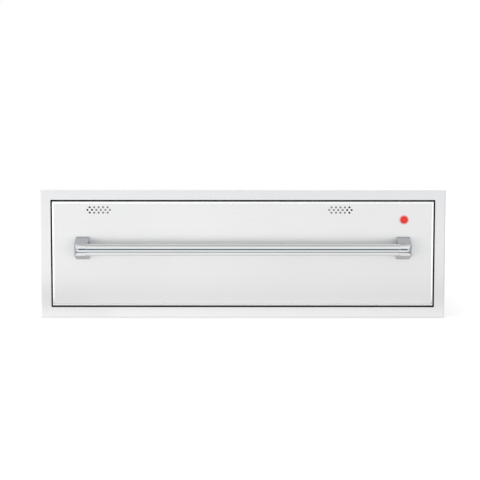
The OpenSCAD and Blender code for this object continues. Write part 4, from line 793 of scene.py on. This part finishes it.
def handle_bar():
    low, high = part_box("handle_bar")
    radius = (high.z - low.z) / 2 / MM
    length = (high.x - low.x) / MM
    start = Vector((low.x, (low.y + high.y) / 2, (low.z + high.z) / 2))
    profile = [(0, 0), (radius - BAR_CHAMFER, 0), (radius, BAR_CHAMFER), (radius, length / 2),
               (radius, length - BAR_CHAMFER), (radius - BAR_CHAMFER, length), (0, length)]
    shape = bmesh.new()
    add_lathe(shape, profile, start, ALONG_X, BAR_STEPS)
    stand_in(finished_mesh("bar_handle", shape), "chrome", "drawer", "handle_bar")


def bracket_stations(reach, foot_half):
    """(distance from the nose, half height) along a bracket: a round nose, then slopes to the foot."""
    away = reach - NOSE_R
    distance = math.hypot(away, foot_half)
    tangent = math.atan2(foot_half, away) + math.acos(NOSE_R / distance)
    stations = []
    for k in range(NOSE_STEPS + 1):
        angle = math.pi + (tangent - math.pi) * k / NOSE_STEPS
        stations.append((NOSE_R * (1 + math.cos(angle)), NOSE_R * math.sin(angle)))
    start_d, start_h = stations[-1]
    for k in range(1, SLOPE_STEPS + 1):
        t = k / SLOPE_STEPS
        stations.append((start_d + (reach - FOOT_EDGE_R - start_d) * t,
                         start_h + (foot_half - start_h) * t))
    # The middle of the foot's rounded edge lies about 0.3 of its radius in
    midway = FOOT_EDGE_R * 0.3
    return stations + [(reach - midway, foot_half - midway), (reach, foot_half - FOOT_EDGE_R)]


def round_off(distance, radius):
    """How far a rounded corner has drawn in at a distance behind the front."""
    if distance >= radius:
        return 0
    return radius - math.sqrt(radius ** 2 - (radius - distance) ** 2)


def corner_points(x, z, radius, start, steps=5):
    """Points around a rounded corner whose circle's middle is at x, z."""
    angles = [start + math.pi / 2 * k / steps for k in range(steps + 1)]
    return [(x + radius * math.cos(angle), z + radius * math.sin(angle)) for angle in angles]


def bracket_outline(distance, half, reach, width):
    """A bracket's outline at a distance from the nose, as points (out from its inner face, up)."""
    draft = SIDE_DRAFT * (reach - distance) / reach
    toe = round_off(reach - distance, FOOT_EDGE_R)
    x0 = draft + round_off(distance, INNER_CORNER_R) + toe
    x1 = width - draft - round_off(distance, OUTER_CORNER_R) - toe
    near = max(0, 1 - distance / NOSE_R)
    outer_r = min(EDGE_R + (NOSE_EDGE_R - EDGE_R) * near, max(half, 0))
    inner_r = min(EDGE_R, max(half, 0))
    return (corner_points(x1 - outer_r, half - outer_r, outer_r, 0)
            + corner_points(x0 + inner_r, half - inner_r, inner_r, math.pi / 2)
            + corner_points(x0 + inner_r, inner_r - half, inner_r, math.pi)
            + corner_points(x1 - outer_r, outer_r - half, outer_r, math.pi * 3 / 2))


def socket_cutter(side, inner_face, middle_z):
    low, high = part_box("handle_bar")
    radius = (high.z - low.z) / 2 / MM + SOCKET_GAP
    start = Vector((inner_face - side * SOCKET_DEPTH * MM, (low.y + high.y) / 2, middle_z))
    shape = bmesh.new()
    add_lathe(shape, [(radius, 0), (radius, 2 * SOCKET_DEPTH + SOCKET_GAP)], start, ALONG_X * side, BAR_STEPS)
    return finished_mesh("socket_cutter", shape)


def bracket(side, node):
    low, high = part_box(node)
    reach = (high.y - low.y) / MM
    width = (high.x - low.x) / MM
    middle_z = (low.z + high.z) / 2
    inner_face = low.x if side > 0 else high.x
    rings = []
    for distance, half in bracket_stations(reach, (high.z - low.z) / 2 / MM):
        rings.append([Vector((inner_face + side * x * MM, low.y + distance * MM, middle_z + z * MM))
                      for x, z in bracket_outline(distance, half, reach, width)])
    shape = bmesh.new()
    add_rings(shape, rings)
    piece = finished_mesh("cast_" + node, shape)
    cut_away(piece, socket_cutter(side, inner_face, middle_z))
    stand_in(piece, "chrome", "drawer", node)
    dress(piece, CAST_CHROME)


handle_bar()
bracket(1, "handle_bracket_right")
bracket(-1, "handle_bracket_left")

# ---------------------------------------------------------------- pilot lamp

LENS_STEPS = 96
LENS_FLANGE_T = 1.8
LENS_STEP_T = 2.0
LENS_BUTTON_T = 0.8
LENS_BUTTON_DOME = 0.15
LENS_ROUNDING = 0.6
LENS_BARREL_R = 4.0
LENS_BARREL_L = 6.0


def pilot_lens():
    low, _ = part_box("pilot_lamp_lens")
    flange = LENS_BUTTON_T + LENS_STEP_T
    seat = flange + LENS_FLANGE_T
    start = Vector((LAMP.x, low.y, LAMP.z))
    outline = rounded([(0, 0), (LENS_BUTTON_R, LENS_BUTTON_DOME), (LENS_BUTTON_R, LENS_BUTTON_T),
                       (LENS_STEP_R, LENS_BUTTON_T), (LENS_STEP_R, flange), (LENS_EDGE_R, flange),
                       (LENS_EDGE_R, seat)], LENS_ROUNDING)
    back = [(LENS_BARREL_R, seat), (LENS_BARREL_R, seat + LENS_BARREL_L), (0, seat + LENS_BARREL_L)]
    shape = bmesh.new()
    add_lathe(shape, outline + back, start, ALONG_Y, LENS_STEPS)
    stand_in(finished_mesh("lamp_lens", shape), "red_lens", "drawer", "pilot_lamp_lens")


pilot_lens()

# ---------------------------------------------------------------- screws

# The recess: its arm's width and reach as shares of the head's diameter, its depth as a share of the
# head's height, and its size at the bottom as a share of that at the top
RECESS_W = 0.16
RECESS_R = 0.31
RECESS_DEPTH = 0.55
RECESS_TAPER = 0.45
HEAD_STEPS = 40
# How far each screw is turned beyond the one before it, in radians
SCREW_TWIST = 0.7


def screw_template(head_d, head_h, length, shank_d):
    """A pan-head screw at the origin: its head reaches towards +Z and has a cross recess."""
    radius = head_d / 2
    dome = [(0, head_h), (radius * 0.45, head_h * 0.97), (radius * 0.75, head_h * 0.86),
            (radius * 0.93, head_h * 0.62), (radius, head_h * 0.32), (radius * 0.97, 0), (shank_d / 2, 0),
            (shank_d / 2, -length + shank_d), (shank_d / 5, -length), (0, -length)]
    shape = bmesh.new()
    add_lathe(shape, dome, ORIGIN, UP, HEAD_STEPS)
    head = finished_mesh("screw_template", shape)
    arm = head_d * RECESS_R
    half = head_d * RECESS_W / 2
    cross = []
    for quarter in range(4):
        turn = Matrix.Rotation(math.pi / 2 * quarter, 3, "Z")
        cross += [turn @ Vector(corner) for corner in ((arm, -half, 0), (arm, half, 0), (half, half, 0))]
    above_head = head_h * 1.1
    bottom = head_h * (1 - RECESS_DEPTH)
    rings = [[(corner * share + UP * z) * MM for corner in cross]
             for z, share in ((above_head, 1.0), (bottom, RECESS_TAPER))]
    cutter = bmesh.new()
    add_rings(cutter, rings)
    cut_away(head, finished_mesh("recess_cutter", cutter))
    return head


def screws(name, node, slot, body, axis, head_d, head_h, shank_d):
    """Replaces a node's plain screws by turned ones at the same places; axis points out of the head."""
    shape = bmesh.new()
    for index, (low, high) in enumerate(islands(node)):
        long = max((high - low)[i] * abs(axis[i]) for i in range(3)) / MM
        template = screw_template(head_d, head_h, long - head_h, shank_d)
        top = Vector(high[i] if axis[i] > 0.5 else low[i] if axis[i] < -0.5 else (low[i] + high[i]) / 2
                     for i in range(3))
        turn = UP.rotation_difference(axis).to_matrix().to_4x4()
        twist = Matrix.Rotation(index * SCREW_TWIST, 4, "Z")
        template.data.transform(Matrix.Translation(top - axis * head_h * MM) @ turn @ twist)
        shape.from_mesh(template.data)
        bpy.data.objects.remove(template)
    stand_in(finished_mesh(name, shape), slot, body, node)


screws("panel_screws", "casing_screws", "screw_steel", "casing", ALONG_Y, head_d=7, head_h=2, shank_d=3.5)
screws("door_screws", "front_screws", "screw_steel", "drawer", ALONG_Y, head_d=7, head_h=2, shank_d=3.5)
screws("feet_screws", "foot_screws", "screw_steel", "casing", -UP, head_d=9.5, head_h=3.2, shank_d=5)

# ---------------------------------------------------------------- feet and gasket

FOOT_STEPS = 64
FOOT_SOLE_R = 16
FOOT_RIM_H = 3
FOOT_HOLE_R = 2.7
FOOT_RECESS_R = 5.15
FOOT_RECESS_H = 8.8
FOOT_ROUNDING = 1.6


def rubber_feet():
    shape = bmesh.new()
    for low, high in islands("rubber_feet"):
        height = (high.z - low.z) / MM
        radius = (high.x - low.x) / 2 / MM
        outline = rounded([(FOOT_RECESS_R, FOOT_RECESS_H), (FOOT_RECESS_R, 0), (FOOT_SOLE_R, 0),
                           (radius, height - FOOT_RIM_H), (radius, height), (FOOT_HOLE_R, height)],
                          FOOT_ROUNDING)
        outline += [(FOOT_HOLE_R, FOOT_RECESS_H)]
        middle = (low + high) / 2
        add_lathe(shape, outline, Vector((middle.x, middle.y, low.z)), UP, FOOT_STEPS, closed=True)
    stand_in(finished_mesh("moulded_feet", shape), "rubber", "casing", "rubber_feet")


GASKET_W = 6
GASKET_CORNER_R = 8
GASKET_CORNER_STEPS = 8
# The bulb's outline: across the gasket, and its height as a share of the gasket's thickness
GASKET_FORM = [(-3, 0), (-3, 0.3), (-2.4, 0.42), (-1.9, 0.7), (-1.1, 0.93), (0, 1), (1.1, 0.93),
               (1.9, 0.7), (2.4, 0.42), (3, 0.3), (3, 0)]


def gasket():
    low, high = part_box("front_gasket")
    thick = high.y - low.y
    half_x = (high.x - low.x) / 2 - (GASKET_W / 2 + GASKET_CORNER_R) * MM
    half_z = (high.z - low.z) / 2 - (GASKET_W / 2 + GASKET_CORNER_R) * MM
    middle = (low + high) / 2
    rings = []
    for quarter, (sx, sz) in enumerate(((1, 1), (-1, 1), (-1, -1), (1, -1))):
        for k in range(GASKET_CORNER_STEPS + 1):
            angle = math.pi / 2 * (quarter + k / GASKET_CORNER_STEPS)
            out = Vector((math.cos(angle), 0, math.sin(angle)))
            centre = Vector((middle.x + sx * half_x, low.y, middle.z + sz * half_z))
            rings.append([centre + out * (GASKET_CORNER_R + across) * MM + ALONG_Y * thick * rise
                          for across, rise in GASKET_FORM])
    shape = bmesh.new()
    add_rings(shape, rings, closed=True)
    stand_in(finished_mesh("bulb_gasket", shape), "gasket_rubber", "drawer", "front_gasket")


rubber_feet()
gasket()

# ---------------------------------------------------------------- knobs

DIAL_STEPS = 192
FLUTES = 12
FLUTE_DEPTH = 1.1
SKIRT_T = 2.5
GRIP_R = 12


def dial_knob():
    low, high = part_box("thermostat_knob")
    middle = (low + high) / 2
    skirt_r = (high.x - low.x) / 2 / MM
    height = (high.z - low.z) / MM
    # radius, height above the cover, and how deep the flutes are there
    rows = [(0, 0, 0), (skirt_r - 0.6, 0, 0), (skirt_r, 0.5, 0), (skirt_r, SKIRT_T - 0.9, 0),
            (skirt_r - 0.3, SKIRT_T - 0.25, 0), (skirt_r - 1, SKIRT_T, 0), (GRIP_R + 1.4, SKIRT_T + 0.15, 0),
            (GRIP_R + 0.5, SKIRT_T + 0.5, 0.4), (GRIP_R, SKIRT_T + 1.3, 1), (GRIP_R - 0.2, height - 1.6, 1),
            (GRIP_R - 0.45, height - 0.7, 0.9), (GRIP_R - 1.1, height - 0.15, 0.6),
            (GRIP_R - 2, height, 0.15), (GRIP_R - 3.5, height - 0.25, 0), (0, height - 0.35, 0)]
    rings = []
    for radius, rise, depth in rows:
        ring = []
        for k in range(DIAL_STEPS):
            angle = 2 * math.pi * k / DIAL_STEPS
            flute = FLUTE_DEPTH * depth * (0.5 - 0.5 * math.cos(FLUTES * angle)) ** 3
            reach = max(radius - flute, 0) * MM
            ring.append(Vector((middle.x + reach * math.sin(angle), middle.y - reach * math.cos(angle),
                                low.z + rise * MM)))
        rings.append(ring)
    shape = bmesh.new()
    add_rings(shape, rings)
    stand_in(finished_mesh("fluted_knob", shape), "knob_plastic", "thermostat_knob", "thermostat_knob")


# The pointer: its width, its ends' distances from the knob's axis, its thickness, and how far its top
# lies under the knob's highest place
POINTER_W = 1.1
POINTER_FROM = 4.5
POINTER_TO = 9.6
POINTER_T = 0.6
POINTER_SINK = 0.1
POINTER_END_STEPS = 8


def pointer():
    """The pale line on the knob that shows its setting."""
    _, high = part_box("thermostat_knob")
    middle = box_middle("thermostat_knob")
    top = high.z - POINTER_SINK * MM
    outline = []
    for end, start in ((POINTER_FROM, 0), (POINTER_TO, math.pi)):
        for k in range(POINTER_END_STEPS + 1):
            angle = start + math.pi * k / POINTER_END_STEPS
            outline.append((POINTER_W / 2 * math.cos(angle), -end + POINTER_W / 2 * math.sin(angle)))
    rings = [[Vector((middle.x + x * MM, middle.y + y * MM, z)) for x, y in outline]
             for z in (top - POINTER_T * MM, top)]
    shape = bmesh.new()
    add_rings(shape, rings)
    piece = finished_mesh("dial_pointer", shape)
    dress(piece, INLAY)
    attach(piece, "thermostat_knob")


# A shutter's knob: shares of its radius for its neck and the rim of its hollow end, shares of its length
# at which the neck ends and the grip begins, and how deep the end is and how rounded
VENT_KNOB_STEPS = 48
NECK_R = 0.7
HOLLOW_R = 0.6
NECK_END = 0.3
GRIP_START = 0.45
HOLLOW_DEPTH = 0.5
VENT_KNOB_ROUNDING = 0.7


def shutter_knob(side):
    node = "shutter_knob_" + side
    low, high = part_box(node)
    middle = (low + high) / 2
    radius = (high.x - low.x) / 2 / MM
    length = (high.y - low.y) / MM
    neck = radius * NECK_R
    outline = rounded([(0, 0), (neck, 0), (neck, length * NECK_END), (radius, length * GRIP_START),
                       (radius, length), (radius * HOLLOW_R, length), (0, length - HOLLOW_DEPTH)],
                      VENT_KNOB_ROUNDING)
    shape = bmesh.new()
    add_lathe(shape, outline, Vector((middle.x, low.y, middle.z)), ALONG_Y, VENT_KNOB_STEPS)
    stand_in(finished_mesh("vent_knob_" + side, shape), "knob_plastic", "vent_shutter_" + side, node)


dial_knob()
pointer()
shutter_knob("left")
shutter_knob("right")

# ---------------------------------------------------------------- dial marks

# The sweep is in degrees, and a number stands at each of its equal steps
DIAL_SWEEP = 270
DIAL_NUMBERS = 6
MINOR_TICKS = 4
NUMBER_R = 24.5
NUMBER_SIZE = 5.2
TICK_FROM = 19.2
TICK_TO = 20.9
MINOR_TO = 20.1
TICK_W = 0.5
INK_T = 0.03


def on_dial(middle, angle, radius):
    """A point on the cover at an angle clockwise from the front, seen from above."""
    turn = math.radians(angle)
    return middle + Vector((-math.sin(turn), -math.cos(turn), 0)) * radius * MM


def number_mesh(text, place):
    curve = bpy.data.curves.new("number", "FONT")
    curve.body = text
    curve.size = NUMBER_SIZE * MM
    curve.extrude = INK_T * MM / 2
    curve.align_x = "CENTER"
    curve.align_y = "CENTER"
    letters = bpy.data.objects.new("number", curve)
    SCENE.collection.objects.link(letters)
    mesh = applied_mesh(letters)
    mesh.transform(Matrix.Translation(place))
    bpy.data.objects.remove(letters)
    return mesh


def add_tick(shape, middle, angle, end):
    start = on_dial(middle, angle, TICK_FROM)
    stop = on_dial(middle, angle, end)
    across = (stop - start).normalized().cross(UP) * TICK_W / 2 * MM
    rise = UP * INK_T / 2 * MM
    rings = [[start - across + lift, stop - across + lift, stop + across + lift, start + across + lift]
             for lift in (-rise, rise)]
    add_rings(shape, rings)


def dial_marks():
    _, cover_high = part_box("channel_cover")
    middle = box_middle("thermostat_knob")
    middle.z = cover_high.z + INK_T * MM / 2
    step = DIAL_SWEEP / (DIAL_NUMBERS - 1)
    shape = bmesh.new()
    for k in range(DIAL_NUMBERS):
        shape.from_mesh(number_mesh(str(k), on_dial(middle, k * step, NUMBER_R)))
        add_tick(shape, middle, k * step, TICK_TO)
        if k < DIAL_NUMBERS - 1:
            for minor in range(1, MINOR_TICKS + 1):
                add_tick(shape, middle, (k + minor / (MINOR_TICKS + 1)) * step, MINOR_TO)
    piece = finished_mesh("dial_marks", shape)
    dress(piece, INK)
    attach(piece, "drawer")


dial_marks()

# ---------------------------------------------------------------- curly lead

LEAD_CORD_D = 4.2
LEAD_TURNS = 42
LEAD_TURN_STEPS = 20
LEAD_SIDES = 10
LEAD_STRAIGHT = 7


def lead_path(low, high):
    """The lead's middle line along Y: a helix whose first and last turns grow out of straight ends."""
    middle = (low + high) / 2
    coil_r = (high.x - low.x) / 2 - LEAD_CORD_D / 2 * MM
    straight = LEAD_STRAIGHT * MM
    length = high.y - low.y - 2 * straight
    steps = LEAD_TURNS * LEAD_TURN_STEPS
    path = [Vector((middle.x, low.y, middle.z))]
    for k in range(steps + 1):
        share = k / steps
        grow = min(1, share * LEAD_TURNS, (1 - share) * LEAD_TURNS)
        radius = coil_r * grow * grow * (3 - 2 * grow)
        angle = 2 * math.pi * LEAD_TURNS * share
        path.append(Vector((middle.x + radius * math.cos(angle), low.y + straight + length * share,
                            middle.z + radius * math.sin(angle))))
    path.append(Vector((middle.x, high.y, middle.z)))
    return path


def curly_lead():
    low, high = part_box("curly_lead")
    path = lead_path(low, high)
    rings = []
    side = UP
    for k, point in enumerate(path):
        along = (path[min(k + 1, len(path) - 1)] - path[max(k - 1, 0)]).normalized()
        side = (side - along * side.dot(along)).normalized()
        rings.append(circle(point, side, along.cross(side), LEAD_CORD_D / 2, LEAD_SIDES))
    shape = bmesh.new()
    add_rings(shape, rings)
    lead = finished_mesh("coiled_lead", shape)
    dress(lead, FINISHES["lead_rubber"])
    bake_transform(lead)
    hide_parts("curly_lead")


curly_lead()
